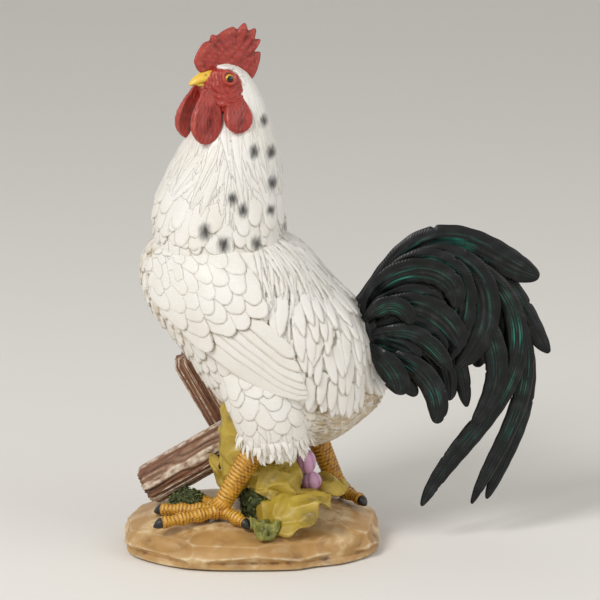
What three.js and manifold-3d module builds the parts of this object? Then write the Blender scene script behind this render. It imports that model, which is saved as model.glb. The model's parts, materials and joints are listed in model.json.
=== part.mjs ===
// Rooster figurine in painted cast resin, on a flat stone among cabbage leaves and weathered rails.
// Millimetres, +Z up. The bird faces -X, its left is -Y; the origin is the middle of the underside.
import * as THREE from "three";
import { mergeVertices } from "three/addons/utils/BufferGeometryUtils.js";
import Module from "manifold-3d";

const wasm = await Module();
wasm.setup();

// Bonding clearance that every casting keeps to the one that carries it
const GAP = 0.3;

// Stone and its felt. Whatever stands on the stone is measured from its top.
const FELT_THICK = 1.5;
const FELT_INSET = 9;
const STONE_LENGTH = 200;
const STONE_DEPTH = 150;
const STONE_THICK = 27.5;
const STONE_SHOULDER = 10;
const STONE_FLARE = 6;
const STONE_CREASES = [
  { angle: -52, depth: 4, spread: 8 },
  { angle: 170, depth: 4, spread: 9 },
  { angle: 64, depth: 4, spread: 9 },
];

// Trunk, cut square to its slanted axis. All rows of the bird are measured from the trunk's middle.
const TRUNK_HEIGHT = 151;
const TRUNK_PITCH = 28;
const TRUNK_FULLNESS = 2.15;
const TRUNK_ROWS = [
  // along, rise, half height, half width
  [-93, 9, 6, 7],
  [-86, 7, 19, 21],
  [-73, 5, 31, 34],
  [-59, 7, 41, 44],
  [-30, 7, 54, 55],
  [3, 0, 64, 59],
  [40, -10, 61, 57],
  [64, -15, 57, 50],
  [83, -20, 48, 41],
  [97, -25, 33, 30],
  [108, -19, 21, 19],
  [117, -13, 5, 6],
];

// Neck: level slices from the cape of hackle feathers up to the crown
const CAPE_HEIGHT = 64;
const CAPE_DIP = 6;
const CAPE_TIPS = 14;
const CAPE_TIP_DROP = 6;
const CAPE_RIB = 1.8;
const NECK_FULLNESS = 2.1;
const NECK_ROWS = [
  // height above the cape's edge, middle, half length, half width
  [-12, -24, 46, 44],
  [0, -23.5, 48.5, 45],
  [24, -22, 49, 41],
  [50, -18.5, 43, 35],
  [72, -14.5, 34, 28],
  [89, -11, 25.5, 21],
  [102, -9, 18.5, 16],
  [112, -9.5, 14, 12.5],
  [120, -11, 10, 10.5],
  [126, -12, 4, 4],
];

// Head, turned towards the bird's left; its rows are measured from the middle of the skull
const HEAD_TURN = 28;
const HEAD_RISE = 108;
const HEAD_FORWARD = 12;
const FACE = { middle: [-8.5, 0, 3.5], size: [16, 15.5, 15] };
const EYE_RADIUS = 4;
const EYE_PLACE = [-10, 11.6, 10.5];
const BEAK_ROOT = -20;
const UPPER_BEAK = { length: 16.5, height: 11.6, halfHeight: 5, halfWidth: 6.4, hook: 2.6, blunt: 2.4 };
const LOWER_BEAK = { length: 12.5, height: 5.6, halfHeight: 2.3, halfWidth: 5, hook: -1.4, blunt: 2 };
const WATTLE = { place: [-24, 8, 4], hang: 40.5, width: 25, thick: 8, sway: [-6, 6] };
const EAR_LOBE = { place: [-5.5, 13, -1], hang: 27.5, width: 22, thick: 8, sway: [-2.5, 11] };

// Comb: its rim as seen from the side, as turns about one centre
const COMB_THICK = 6;
const COMB_CENTRE = [-2, 16];
const COMB_RIM = [
  // angle from the tail end, reach
  [178, 28],
  [166, 31.5],
  [137, 30.5],
  [129, 28],
  [121, 31],
  [115, 27.5],
  [98, 29.5],
  [86, 31],
  [80, 28.5],
  [71, 35.5],
  [62, 30],
  [54, 35.5],
  [46, 27.5],
  [39, 32],
  [29, 21],
  [24, 26.5],
  [2, 22.5],
  [-34, 19],
  [-48, 9],
  [220, 6],
];

// Legs: heights above the stone, and toes as steps away from the ankle
const SCUTE_STEP = 11.5;
const SCUTE_RAISE = 0.7;
const HIP_DROP = 86;
const SHANK_HIP = 9.4;
const SHANK_ANKLE = 6.8;
const TOE_ROOT = 6;
const TOE_END = 4.6;
const CLAW_LENGTH = 10;
const CLAW_ROWS = [
  // share of the claw's length, drop, radius
  [0.06, -0.4, 2.9],
  [0.5, 0, 2.2],
  [1, 1.8, 0.6],
];
const ROD_RADIUS = 2.5;
const ROD_INTO_STONE = 18;
const ROD_INTO_TRUNK = 34;
const LEG_LEFT = {
  hip: [8, -35],
  ankle: [-21.5, -35, 13],
  toes: [
    [-43, 14],
    [-42, -17],
    [-19, 42],
    [15, -16],
  ],
};
const LEG_RIGHT = {
  hip: [42, 30],
  ankle: [65, 30, 10],
  toes: [
    [-43, 12],
    [-41, -14],
    [-29, 28],
    [17, -24],
  ],
};

// Thighs, wings and saddle
const THIGH_TIPS = 6;
const THIGH_TIP_DROP = 4.5;
const THIGH_ROWS = [
  // forward, out to the side, height, half length, half width
  [8, 31, -20, 16, 12],
  [8, 34, -30, 33, 22],
  [10.5, 35, -46, 32.5, 25],
  [13.5, 35, -62, 30, 25],
  [15.5, 35, -76, 26.5, 23.5],
  [17, 35, -88, 22, 19.5],
  [18, 35, -96, 15.5, 13.5],
  [18, 35, -100, 6, 5],
];
const THIGH_RIGHT_SHIFT = [26, -3, 7];
const WING = {
  shoulder: [-52, 43], tip: [41, -44], lower: 25.5, upper: 31,
  round: 20, slant: 0.22, feather: 9,
};
const WING_TIERS = [
  // share of the wing's length, thickness over the trunk, feather ends
  [1, 3.2, 3],
  [0.76, 5.4, 4],
  [0.47, 7.6, 5],
];
const SADDLE_THICK = 5.5;
const SADDLE_SLICES = 18;
const SADDLE_SIDES = 24;
const SADDLE_FOLD = 2.2;
const SADDLE_FRONT = [
  [17, 84],
  [0, 45],
  [16, 4],
  [30, -30],
];
const SADDLE_HEM = { from: [42, -56], to: [78, -66], rise: 28, tips: 5, drop: 9 };

// Tail: feathers rooted on one boss at the rump, each with a heading that turns as it grows
const TAIL_PLACE = [86, 0, -24];
const TAIL_BOSS = { middle: [4, 0, 7], size: [13, 27, 31] };
const TAIL_PIN = { reach: 38, radius: 4, rise: 14 };
const VANE_THICK = 5.2;
const VANE_STEP = 27;
const VANE_BANK = 0.7;
const QUILL_GROOVE = 0.72;
const VANE_SECTION = [
  // share of the half width, share of the half thickness
  [1, 0],
  [0.55, 1],
  [0, QUILL_GROOVE],
  [-0.55, 1],
  [-1, 0],
  [-0.55, -1],
  [0, -QUILL_GROOVE],
  [0.55, -1],
];
const TAIL_FEATHERS = {
  // root forward, root up, layer, launch, turn, length, width, earliness of the turn, flick
  sickle_top: [-2, 33, 0, 52, -69, 157, 27, 1.6, 18],
  sickle_long: [-1, 30, -2, 72, -187, 319, 17, 2.5, 17],
  sickle_second: [0, 25, 5, 65, -178, 297, 14, 2, 8],
  sickle_third: [-1, 18, 12, 56, -166, 279, 16, 1.8, 8],
  sickle_rear: [-2, 30, 7, 58, -110, 192, 20, 1.8, 14],
  sickle_rear_under: [-1, 24, 14, 54, -115, 176, 15, 1.3, 8],
  left_curl: [0, 24, -28, 58, -175, 46, 18, 0.5, 10],
  left_upper_drape: [1, 29, -21, 92, -210, 102, 22, 0.72, -7],
  left_middle_arch: [1, 8, -24, 47, -101, 77, 16, 1.65, 3],
  left_lower_block: [-1, 2, -28, 15, -115, 46, 22, 1.3, -14],
  left_lower_drape: [5, 0, -21, -2, -112, 84, 19, 0.7, 1],
  left_lower_tuft: [5, -8, -14, 24, -96, 45, 14, 1.9, -25],
  left_centre_drape: [-1, 30, -14, 56, -158, 155, 24, 1.15, 28],
  left_green_drape: [-1, 30, -9, 55, -190, 178, 26, 0.85, 19],
  left_inner_arch: [0, 20, -15, 61, -112, 68, 21, 0.6, -3],
  left_inner_hang: [1, 13, -2, 56, -136, 128, 14, 2, 3],
  left_bright_sickle: [0, 17, -6, 65, -197, 191, 18.5, 1.15, -3],
  right_upper_drape: [1, 26, 22, 77, -198, 112, 22, 0.72, -1],
  right_centre_drape: [0, 18, 15, 52, -142, 160, 26, 1.1, 22],
  right_middle_arch: [1, 15, 26, 50, -104, 86, 24, 1.6, 3],
  right_lower_block: [-1, 2, 29, 16, -112, 50, 22, 1.3, -14],
  right_lower_drape: [5, 0, 20, 0, -114, 90, 19, 0.75, 1],
};

// Weathered rails, on the stone
const RAIL_RIDGES = 8;
const RAIL_RIDGE = 1.5;
const RAIL_LYING = { from: [-82, 13, 11], run: 103, rise: 30, radius: 14.5 };
const RAIL_UPRIGHT = { from: [10, 34, 7], run: 122, rise: 119, radius: 13.5 };

// Cabbage leaves, moss, sprig and buds, on the stone
const LEAF_THICK = 2.6;
const LEAVES = {
  upright_leaf: {
    stalk: [-18, -20, 26], heading: 168, rise: 74, arch: 30, roll: -8,
    length: 72, width: 34, cup: 11, ruffle: 2.5,
  },
  folded_leaf: {
    stalk: [-10, -24, 22], heading: 190, rise: 70, arch: 60, roll: 10,
    length: 46, width: 30, cup: 8, ruffle: 4,
  },
  low_leaf: {
    stalk: [-16, -8, 8], heading: 176, rise: 50, arch: 30, roll: 15,
    length: 40, width: 24, cup: 6, ruffle: 3,
  },
  broad_leaf: {
    stalk: [34, -20, 44], heading: 205, rise: -8, arch: -46, roll: 24,
    length: 56, width: 48, cup: -7, ruffle: 4,
  },
  front_leaf: {
    stalk: [45, -19, 25.5], heading: 234, rise: 12, arch: -75, roll: 4,
    length: 60, width: 60, cup: -6, ruffle: 5,
  },
  rear_leaf: {
    stalk: [34, -2, 20], heading: -16, rise: 24, arch: -46, roll: 20,
    length: 42, width: 26, cup: -4, ruffle: 2,
  },
};
const SPRIG = {
  stalk: [6, -50, 3], heading: 276, rise: 16, arch: -50, roll: 0,
  length: 24, width: 24, cup: 5, ruffle: 2.6,
};
const MOSS = {
  left_moss: { middle: [-48, -4, 5], size: [15, 11, 10] },
  middle_moss: { middle: [8, -20, 12], size: [17, 14, 22] },
};
const BUD_LOBES = 5;
const BUDS = {
  upper_bud: { middle: [41, -12, 39], size: [8, 8, 10.5] },
  lower_bud: { middle: [45.5, -13, 23.5], size: [7.6, 7.6, 7.2] },
};

const finishes = {
  felt: new THREE.MeshStandardMaterial({ color: "#3f3a33", roughness: 1 }),
  stone: new THREE.MeshStandardMaterial({ color: "#c4a26c", roughness: 0.55 }),
  white: new THREE.MeshStandardMaterial({ color: "#e9e4da", roughness: 0.55 }),
  black: new THREE.MeshStandardMaterial({ color: "#23272a", roughness: 0.38 }),
  red: new THREE.MeshStandardMaterial({ color: "#a3272b", roughness: 0.5 }),
  yellow: new THREE.MeshStandardMaterial({ color: "#e3b548", roughness: 0.45 }),
  ochre: new THREE.MeshStandardMaterial({ color: "#c98a2c", roughness: 0.5 }),
  eye: new THREE.MeshStandardMaterial({ color: "#1a1410", roughness: 0.1 }),
  leaf: new THREE.MeshStandardMaterial({ color: "#9c9430", roughness: 0.5 }),
  moss: new THREE.MeshStandardMaterial({ color: "#2f3520", roughness: 0.8 }),
  sprig: new THREE.MeshStandardMaterial({ color: "#6d7d35", roughness: 0.6 }),
  bud: new THREE.MeshStandardMaterial({ color: "#b583b4", roughness: 0.4 }),
  wood: new THREE.MeshStandardMaterial({ color: "#8b6652", roughness: 0.75 }),
  steel: new THREE.MeshStandardMaterial({ color: "#8d9094", roughness: 0.35, metalness: 1 }),
};

const X = new THREE.Vector3(1, 0, 0);
const Y = new THREE.Vector3(0, 1, 0);
const Z = new THREE.Vector3(0, 0, 1);
const vec = (x, y, z) => new THREE.Vector3(x, y, z);
const { degToRad, radToDeg, lerp, smoothstep, euclideanModulo } = THREE.MathUtils;
const turn = (step, count) => (2 * Math.PI * step) / count;
const signedPower = (x, p) => Math.sign(x) * Math.abs(x) ** p;
const wave = (a, b = 0) => Math.sin(a * 12.9898 + b * 78.233) * Math.cos(a * 4.137 - b * 9.73);

// Point moved along a direction
const along = (point, direction, distance) => point.clone().addScaledVector(direction, distance);

// Level heading and slope, both in degrees, as a direction
function direction(heading, slope) {
  const flat = Math.cos(degToRad(slope));
  const level = degToRad(heading);
  return vec(flat * Math.cos(level), flat * Math.sin(level), Math.sin(degToRad(slope)));
}

// Smooth values at share t of a list of rows
function between(rows, t) {
  const last = rows.length - 1;
  const u = Math.min(Math.max(t, 0), 1) * last;
  const i = Math.min(Math.floor(u), last - 1);
  const f = u - i;
  const row = (k) => rows[Math.min(Math.max(k, 0), last)];
  return rows[0].map((_, c) => {
    const [p0, p1, p2, p3] = [i - 1, i, i + 1, i + 2].map((k) => row(k)[c]);
    const bend = 2 * p0 - 5 * p1 + 4 * p2 - p3;
    const swing = 3 * p1 - 3 * p2 + p3 - p0;
    return p1 + 0.5 * f * (p2 - p0 + f * (bend + f * swing));
  });
}

// Solid from a closed geometry, with its faces turned out and its skin pushed out by the swell
function solid(geometry, swell = 0) {
  for (const extra of ["normal", "uv"]) geometry.deleteAttribute(extra);
  const merged = mergeVertices(geometry, 1e-4);
  const point = merged.attributes.position;
  const index = merged.index.array;
  const body = () => {
    const triVerts = new Uint32Array(index);
    return new wasm.Manifold(new wasm.Mesh({ numProp: 3, vertProperties: point.array, triVerts }));
  };
  if (body().volume() < 0) {
    for (let i = 0; i < index.length; i += 3) [index[i + 1], index[i + 2]] = [index[i + 2], index[i + 1]];
  }
  if (swell) {
    merged.computeVertexNormals();
    for (let i = 0; i < point.count; i++) {
      const out = vec(0, 0, 0).fromBufferAttribute(merged.attributes.normal, i);
      point.setXYZ(i, ...vec(0, 0, 0).fromBufferAttribute(point, i).addScaledVector(out, swell));
    }
  }
  return body();
}

// Solid through rings of points, each end closed on the middle of its ring.
// From the given side of a ring on, its cells are split along their other diagonal.
function loft(rings, swell = 0, turned = Infinity) {
  const sides = rings[0].length;
  const points = rings.flat();
  const index = [];
  for (let r = 0; r < rings.length - 1; r++) {
    for (let s = 0; s < sides; s++) {
      const a = r * sides + s;
      const b = r * sides + ((s + 1) % sides);
      if (s < turned) index.push(a, b, b + sides, a, b + sides, a + sides);
      else index.push(a, b, a + sides, b, b + sides, a + sides);
    }
  }
  for (const start of [0, (rings.length - 1) * sides]) {
    const middle = vec(0, 0, 0);
    for (let s = 0; s < sides; s++) middle.addScaledVector(points[start + s], 1 / sides);
    const apex = points.push(middle) - 1;
    for (let s = 0; s < sides; s++) {
      const a = start + s;
      const b = start + ((s + 1) % sides);
      index.push(...(start ? [apex, a, b] : [apex, b, a]));
    }
  }
  const geometry = new THREE.BufferGeometry().setFromPoints(points);
  geometry.setIndex(index);
  return solid(geometry, swell);
}

// Ring round a point: shape(angle) says how far it reaches along each of two axes
function ring(middle, across, up, sides, shape) {
  return Array.from({ length: sides }, (_, s) => {
    const [a, b] = shape(turn(s, sides));
    return along(middle, across, a).addScaledVector(up, b);
  });
}

// Section of a ring, from an ellipse at fullness 2 to fuller sides above it
function section(halfWidth, halfHeight, fullness = 2) {
  return (angle) => [
    halfWidth * signedPower(Math.cos(angle), 2 / fullness),
    halfHeight * signedPower(Math.sin(angle), 2 / fullness),
  ];
}

function ellipsoid({ middle, size }, grow, sides = 12, rows = 8) {
  const sphere = new THREE.SphereGeometry(1, sides, rows);
  sphere.scale(...size.map((half) => half + grow));
  return solid(sphere.translate(...middle));
}

// Round bar between two points
function bar(start, end, radius, grow) {
  const run = end.clone().sub(start);
  const shape = new THREE.CylinderGeometry(radius + grow, radius + grow, run.length() + 2 * grow, 10);
  shape.applyQuaternion(new THREE.Quaternion().setFromUnitVectors(Y, run.clone().normalize()));
  shape.translate(...along(start, run, 0.5));
  return solid(shape);
}

// Scene graph: the stone's top carries the legs and the bird, and the bird carries its head and tail
const figure = new THREE.Group();
const ground = new THREE.Group();
const perch = new THREE.Group();
const bird = new THREE.Group();
const head = new THREE.Group();
const tail = new THREE.Group();
figure.name = "rooster_figurine";
figure.add(ground, perch);
perch.add(bird);
bird.add(head, tail);
perch.position.z = FELT_THICK + STONE_THICK;
bird.position.z = TRUNK_HEIGHT;
head.position.set(-HEAD_FORWARD, 0, CAPE_HEIGHT + HEAD_RISE);
head.rotation.z = degToRad(HEAD_TURN);
tail.position.set(...TAIL_PLACE);

// Adds a piece, cut back by the bonding clearance from every piece made before it
const made = [];
function piece(parent, name, finish, shape, place = [0, 0, 0]) {
  const mesh = new THREE.Mesh(new THREE.BufferGeometry(), finishes[finish]);
  mesh.name = name;
  mesh.position.set(...place);
  parent.add(mesh);
  mesh.updateWorldMatrix(true, false);
  const world = mesh.matrixWorld;

  let body = shape(0).transform(world.elements);
  for (const other of made) {
    if (touching(body.boundingBox(), other.box)) body = body.subtract(other.grown());
  }
  body = body.decompose().reduce((a, b) => (b.volume() > a.volume() ? b : a));
  let cutter;
  const grown = () => (cutter ??= shape(GAP).transform(world.elements));
  made.push({ box: body.boundingBox(), grown });

  const { vertProperties, triVerts } = body.getMesh();
  mesh.geometry.setAttribute("position", new THREE.BufferAttribute(vertProperties, 3));
  mesh.geometry.setIndex(new THREE.BufferAttribute(triVerts, 1));
  mesh.geometry.applyMatrix4(world.clone().invert());
  mesh.geometry.computeVertexNormals();
}

function touching(a, b) {
  return [0, 1, 2].every((k) => a.min[k] < b.max[k] + GAP && b.min[k] < a.max[k] + GAP);
}

// Stone outline: an oval with blunt ends, pinched where its lobes meet
function stoneReach(angle, inset) {
  const fullness = 2.5;
  const cosine = Math.abs(Math.cos(angle)) / (STONE_LENGTH / 2 - inset);
  const sine = Math.abs(Math.sin(angle)) / (STONE_DEPTH / 2 - inset);
  const oval = (cosine ** fullness + sine ** fullness) ** (-1 / fullness);
  return STONE_CREASES.reduce((reach, crease) => {
    const away = euclideanModulo(radToDeg(angle) - crease.angle + 180, 360) - 180;
    return reach - crease.depth * Math.exp(-((away / crease.spread) ** 2));
  }, oval);
}

// Stone: rings from the underside out round the flank and in over the domed top
function stone(grow) {
  const sides = 32;
  const top = FELT_THICK + STONE_THICK;
  const shoulder = top - STONE_SHOULDER;
  const levels = [
    // inset, height, unevenness
    [STONE_FLARE * 0.6, FELT_THICK - grow, 0],
    [0, lerp(FELT_THICK, shoulder, 0.6), 1],
    [STONE_FLARE * 0.4, shoulder, 1.2],
    [STONE_FLARE * 1.6, lerp(shoulder, top, 0.42), 0.8],
    [STONE_FLARE * 4, lerp(shoulder, top, 0.85), 0.5],
    [STONE_FLARE * 7, top, 0],
  ];
  return loft(
    levels.map(([inset, height, rough], level) =>
      Array.from({ length: sides }, (_, s) => {
        const angle = turn(s, sides);
        const reach = stoneReach(angle, inset) + rough * wave(s * 0.7, level) + grow;
        const lift = rough * wave(level, s * 0.45) + (level > 1 ? grow : 0);
        return vec(reach * Math.cos(angle), reach * Math.sin(angle), height + lift);
      }),
    ),
  );
}

function felt(grow) {
  const outline = new THREE.Shape(
    Array.from({ length: 24 }, (_, s) => {
      const reach = stoneReach(turn(s, 24), FELT_INSET) + grow;
      return new THREE.Vector2(reach * Math.cos(turn(s, 24)), reach * Math.sin(turn(s, 24)));
    }),
  );
  return solid(new THREE.ExtrudeGeometry(outline, { depth: FELT_THICK, bevelEnabled: false }));
}

// Slice of the trunk, square to an axis that slopes down to the tail: its middle, half height and half width
function trunkSlice(t, grow) {
  const [distance, rise, halfHeight, halfWidth] = between(TRUNK_ROWS, t);
  const axis = direction(0, -TRUNK_PITCH);
  const middle = axis.multiplyScalar(distance + grow * (2 * t - 1)).addScaledVector(trunkUp(), rise);
  return [middle, halfHeight + grow, halfWidth + grow];
}

function trunkUp() {
  return direction(0, 90 - TRUNK_PITCH);
}

// Trunk: the slices under breast, back and vent
function trunk(grow) {
  const steps = 12;
  return loft(
    Array.from({ length: steps + 1 }, (_, k) => {
      const [middle, halfHeight, halfWidth] = trunkSlice(k / steps, grow);
      return ring(middle, Y, trunkUp(), 16, section(halfWidth, halfHeight, TRUNK_FULLNESS));
    }),
  );
}

// Neck with the hackle cape: its lowest rings drop into pointed feather tips
function neck(grow) {
  const steps = 10;
  return loft(
    Array.from({ length: steps + 1 }, (_, k) => {
      const t = k / steps;
      const [height, middle, halfLength, halfWidth] = between(NECK_ROWS, t);
      const cape = 1 - smoothstep(t, 0, 0.25);
      const centre = vec(middle, 0, CAPE_HEIGHT + height + grow * (2 * t - 1));
      const shape = section(halfLength + grow, halfWidth + grow, NECK_FULLNESS);
      const points = ring(centre, X, Y, CAPE_TIPS * 2, shape);
      const ribbed = 1 - smoothstep(t, 0.45, 0.8);
      points.forEach((point, s) => {
        point.z += cape * ((CAPE_DIP * (middle - point.x)) / halfLength - (s % 2 ? 0 : CAPE_TIP_DROP));
        const out = vec(point.x - centre.x, point.y, 0).normalize();
        if (s % 2) point.addScaledVector(out, -ribbed * CAPE_RIB);
      });
      return points;
    }),
  );
}

// Thigh: level slices, the last but one with feather tips
function thigh(side, [shiftX, shiftY, shiftZ], grow) {
  const steps = 8;
  return loft(
    Array.from({ length: steps + 1 }, (_, k) => {
      const t = k / steps;
      const [x, y, z, halfLength, halfWidth] = between(THIGH_ROWS, t);
      const centre = vec(x + shiftX, side * (y + shiftY), z + shiftZ + grow * (1 - 2 * t));
      const points = ring(centre, X, Y, THIGH_TIPS * 2, section(halfLength + grow, halfWidth + grow));
      if (k === steps - 1) points.forEach((point, s) => (point.z -= s % 2 ? 0 : THIGH_TIP_DROP));
      return points;
    }),
  );
}

// Wing outline seen from the side: a drop about the line from shoulder to tip, its end cut into feathers
function wingOutline(share, ends, grow) {
  const shoulder = new THREE.Vector2(...WING.shoulder);
  const run = new THREE.Vector2(...WING.tip).sub(shoulder);
  const length = run.length();
  run.normalize();
  const across = new THREE.Vector2(-run.y, run.x);
  const at = (t, side, push = 0) => {
    const half = (side < 0 ? WING.lower : WING.upper) + grow;
    const bow = Math.min(1, (-t * length) / (WING.round + grow));
    const taper = t < 0 ? Math.sqrt(1 - bow ** 2) : 1 - Math.min(t, 0.97) ** 2.6;
    return shoulder
      .clone()
      .addScaledVector(run, t * length + push)
      .addScaledVector(across, side * half * taper);
  };
  const endAt = (side) => share - (WING.slant * (side + 1)) / 2;
  const outline = new THREE.Shape();
  outline.moveTo(...at(-(WING.round + grow) / length, 0));
  for (const t of [-0.13, -0.05, 0.08, 0.25, 0.4, 0.6]) if (t < share - 0.05) outline.lineTo(...at(t, -1));
  for (let n = 0; n < ends; n++) {
    const [side, middle, next] = [n, n + 0.5, n + 1].map((count) => -1 + (2 * count) / ends);
    outline.lineTo(...at(endAt(side), side, grow));
    const tip = at(endAt(middle), middle, WING.feather + grow);
    outline.quadraticCurveTo(...tip, ...at(endAt(next), next, grow));
  }
  for (const t of [0.6, 0.4, 0.2, 0, -0.09]) if (t < endAt(1) - 0.05) outline.lineTo(...at(t, 1));
  outline.closePath();
  return outline;
}

// Wing: each tier is the trunk's own skin, thickened and trimmed to the tier's outline
function wing(side, grow) {
  const depth = 90;
  const tiers = WING_TIERS.map(([share, thick, ends]) => {
    const options = { depth, bevelEnabled: false, curveSegments: 2 };
    const slab = new THREE.ExtrudeGeometry(wingOutline(share, ends, grow), options);
    slab.rotateX(Math.PI / 2);
    slab.translate(0, side > 0 ? depth : 0, 0);
    return trunk(thick + grow).intersect(solid(slab));
  });
  return tiers.reduce((a, b) => a.add(b));
}

// Skin over the trunk in folds that run down and back, as the lance feathers lie.
// A slice's points go from the back down the left flank and up the right one, where the cells' diagonals turn.
function foldedSkin(thick) {
  return loft(
    Array.from({ length: SADDLE_SLICES + 1 }, (_, k) => {
      const [middle, halfHeight, halfWidth] = trunkSlice(k / SADDLE_SLICES, thick);
      const left = vec(0, -1, 0);
      const points = ring(middle, trunkUp(), left, SADDLE_SIDES, section(halfHeight, halfWidth, TRUNK_FULLNESS));
      points.forEach((point, s) => {
        const out = point.clone().sub(middle).normalize();
        if ((k + s) % 2) point.addScaledVector(out, -SADDLE_FOLD);
      });
      return points;
    }),
    0,
    SADDLE_SIDES / 2,
  );
}

// Saddle: the skin of the back, thickened, hanging to a hem of feather tips on each flank
function saddle(grow) {
  const { from, to, rise, tips, drop } = SADDLE_HEM;
  const depth = 160;
  const outline = new THREE.Shape();
  outline.moveTo(SADDLE_FRONT[0][0] - grow, SADDLE_FRONT[0][1] + grow);
  for (const [x, z] of SADDLE_FRONT.slice(1)) outline.lineTo(x - grow, z);
  for (let n = 0; n < tips; n++) {
    const t = n / (tips - 1);
    const x = lerp(from[0], to[0], t);
    const z = lerp(from[1], to[1], t);
    outline.lineTo(x, z - grow);
    outline.lineTo(x + (to[0] - from[0]) / (tips * 1.6), z + drop - grow);
  }
  outline.lineTo(to[0] + rise + grow, to[1] + rise);
  outline.lineTo(to[0] + rise + grow, SADDLE_FRONT[0][1] + grow);
  outline.closePath();
  const sheet = new THREE.ExtrudeGeometry(outline, { depth, bevelEnabled: false });
  sheet.rotateX(Math.PI / 2).translate(0, depth / 2, 0);
  return foldedSkin(SADDLE_THICK + grow).intersect(solid(sheet));
}

// One half of the beak: an oval that runs out to a point and hooks down or up
function beak({ length, height, halfHeight, halfWidth, hook, blunt }, grow) {
  const steps = 5;
  return loft(
    Array.from({ length: steps + 1 }, (_, k) => {
      const t = k / steps;
      const taper = Math.sqrt(1 - (0.97 * t) ** blunt);
      const middle = vec(BEAK_ROOT - t * length + grow * (1 - 2 * t), 0, height - hook * t * t);
      return ring(middle, Y, Z, 8, section(halfWidth * taper + grow, halfHeight * taper + grow));
    }),
  );
}

// Hanging lobe of skin: a flat drop, fuller low down, that sways out from the head
function lobe({ place: [x, y, z], hang, width, thick, sway }, side, grow) {
  const steps = 7;
  return loft(
    Array.from({ length: steps + 1 }, (_, k) => {
      const t = k / steps;
      const swell = Math.sin(Math.PI * (0.06 + 0.9 * t ** 1.25)) ** 0.62;
      const drift = t * (2 - t);
      const low = z - t * hang + grow * (1 - 2 * t);
      const middle = vec(x + sway[0] * drift, side * (y + sway[1] * drift), low);
      return ring(middle, X, Y, 8, section((width / 2) * swell + grow, (thick / 2) * swell + grow));
    }),
  );
}

function comb(grow) {
  const [x, z] = COMB_CENTRE;
  const outline = new THREE.Shape(
    COMB_RIM.map(([angle, reach]) => {
      const far = reach + grow;
      return new THREE.Vector2(x + far * Math.cos(degToRad(angle)), z + far * Math.sin(degToRad(angle)));
    }),
  );
  const bevel = COMB_THICK * 0.3;
  const blade = new THREE.ExtrudeGeometry(outline, {
    depth: COMB_THICK - 2 * bevel + 2 * grow,
    bevelThickness: bevel,
    bevelSize: bevel * 0.7,
    bevelOffset: -bevel * 0.7,
    bevelSegments: 1,
  });
  blade.translate(0, 0, bevel - COMB_THICK / 2 - grow).rotateX(Math.PI / 2);
  return solid(blade);
}

// Scaled limb: a tapering round bar with a raised ring for each scute, and a claw where it has one
function limb(start, end, radiusStart, radiusEnd, claw, grow) {
  const run = end.clone().sub(start);
  const axis = run.clone().normalize();
  const across = Math.hypot(axis.x, axis.y) < 0.3 ? Y.clone() : vec(-axis.y, axis.x, 0);
  across.addScaledVector(axis, -across.dot(axis)).normalize();
  const up = axis.clone().cross(across);
  const count = 2 * Math.max(1, Math.round(run.length() / SCUTE_STEP));
  const rings = Array.from({ length: count + 1 }, (_, k) => {
    const t = k / count;
    const middle = along(start, run, t).addScaledVector(axis, grow * (2 * t - 1));
    const radius = lerp(radiusStart, radiusEnd, t) + grow + (k % 2 ? SCUTE_RAISE : 0);
    return ring(middle, across, up, claw ? 6 : 8, section(radius, radius));
  });
  for (const [share, drop, thick] of claw ? CLAW_ROWS : []) {
    const middle = along(end, axis, share * CLAW_LENGTH + grow);
    middle.z -= drop;
    rings.push(ring(middle, across, up, 6, section(thick + grow, thick + grow)));
  }
  return loft(rings);
}

const ankleOf = (leg) => vec(...leg.ankle);
const hipOf = (leg) => vec(leg.hip[0], leg.hip[1], TRUNK_HEIGHT - HIP_DROP);

// Foot and shank in one casting: four toes spread from the ankle and end in claws
function leg(spec, grow) {
  const ankle = ankleOf(spec);
  const knuckle = { middle: spec.ankle, size: [SHANK_ANKLE + 1, SHANK_ANKLE + 1, SHANK_ANKLE] };
  const parts = [
    limb(hipOf(spec), ankle, SHANK_HIP, SHANK_ANKLE, false, grow),
    ellipsoid(knuckle, grow, 8, 5),
  ];
  for (const [stepX, stepY] of spec.toes) {
    const step = vec(stepX, stepY, 0);
    const end = along(ankle, step, 1).setZ(TOE_END - 0.6);
    const root = along(ankle, step, 0.1).setZ(lerp(end.z, ankle.z, 0.4));
    parts.push(limb(root, end, TOE_ROOT, TOE_END, true, grow));
  }
  return parts.reduce((a, b) => a.add(b));
}

// Steel armature from inside the trunk down through the shank into the stone
function rod(spec, grow) {
  const ankle = ankleOf(spec);
  const hip = hipOf(spec);
  const lean = ankle.clone().sub(hip).normalize();
  const low = along(ankle, lean, (ankle.z + ROD_INTO_STONE) / -lean.z);
  return bar(along(hip, lean, -ROD_INTO_TRUNK), low, ROD_RADIUS, grow);
}

// Steel pin from inside the trunk into the tail's boss
function tailPin(grow) {
  const { reach, radius, rise } = TAIL_PIN;
  return bar(along(vec(0, 0, 0), direction(0, rise), -reach), vec(...TAIL_BOSS.middle), radius, grow);
}

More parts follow.
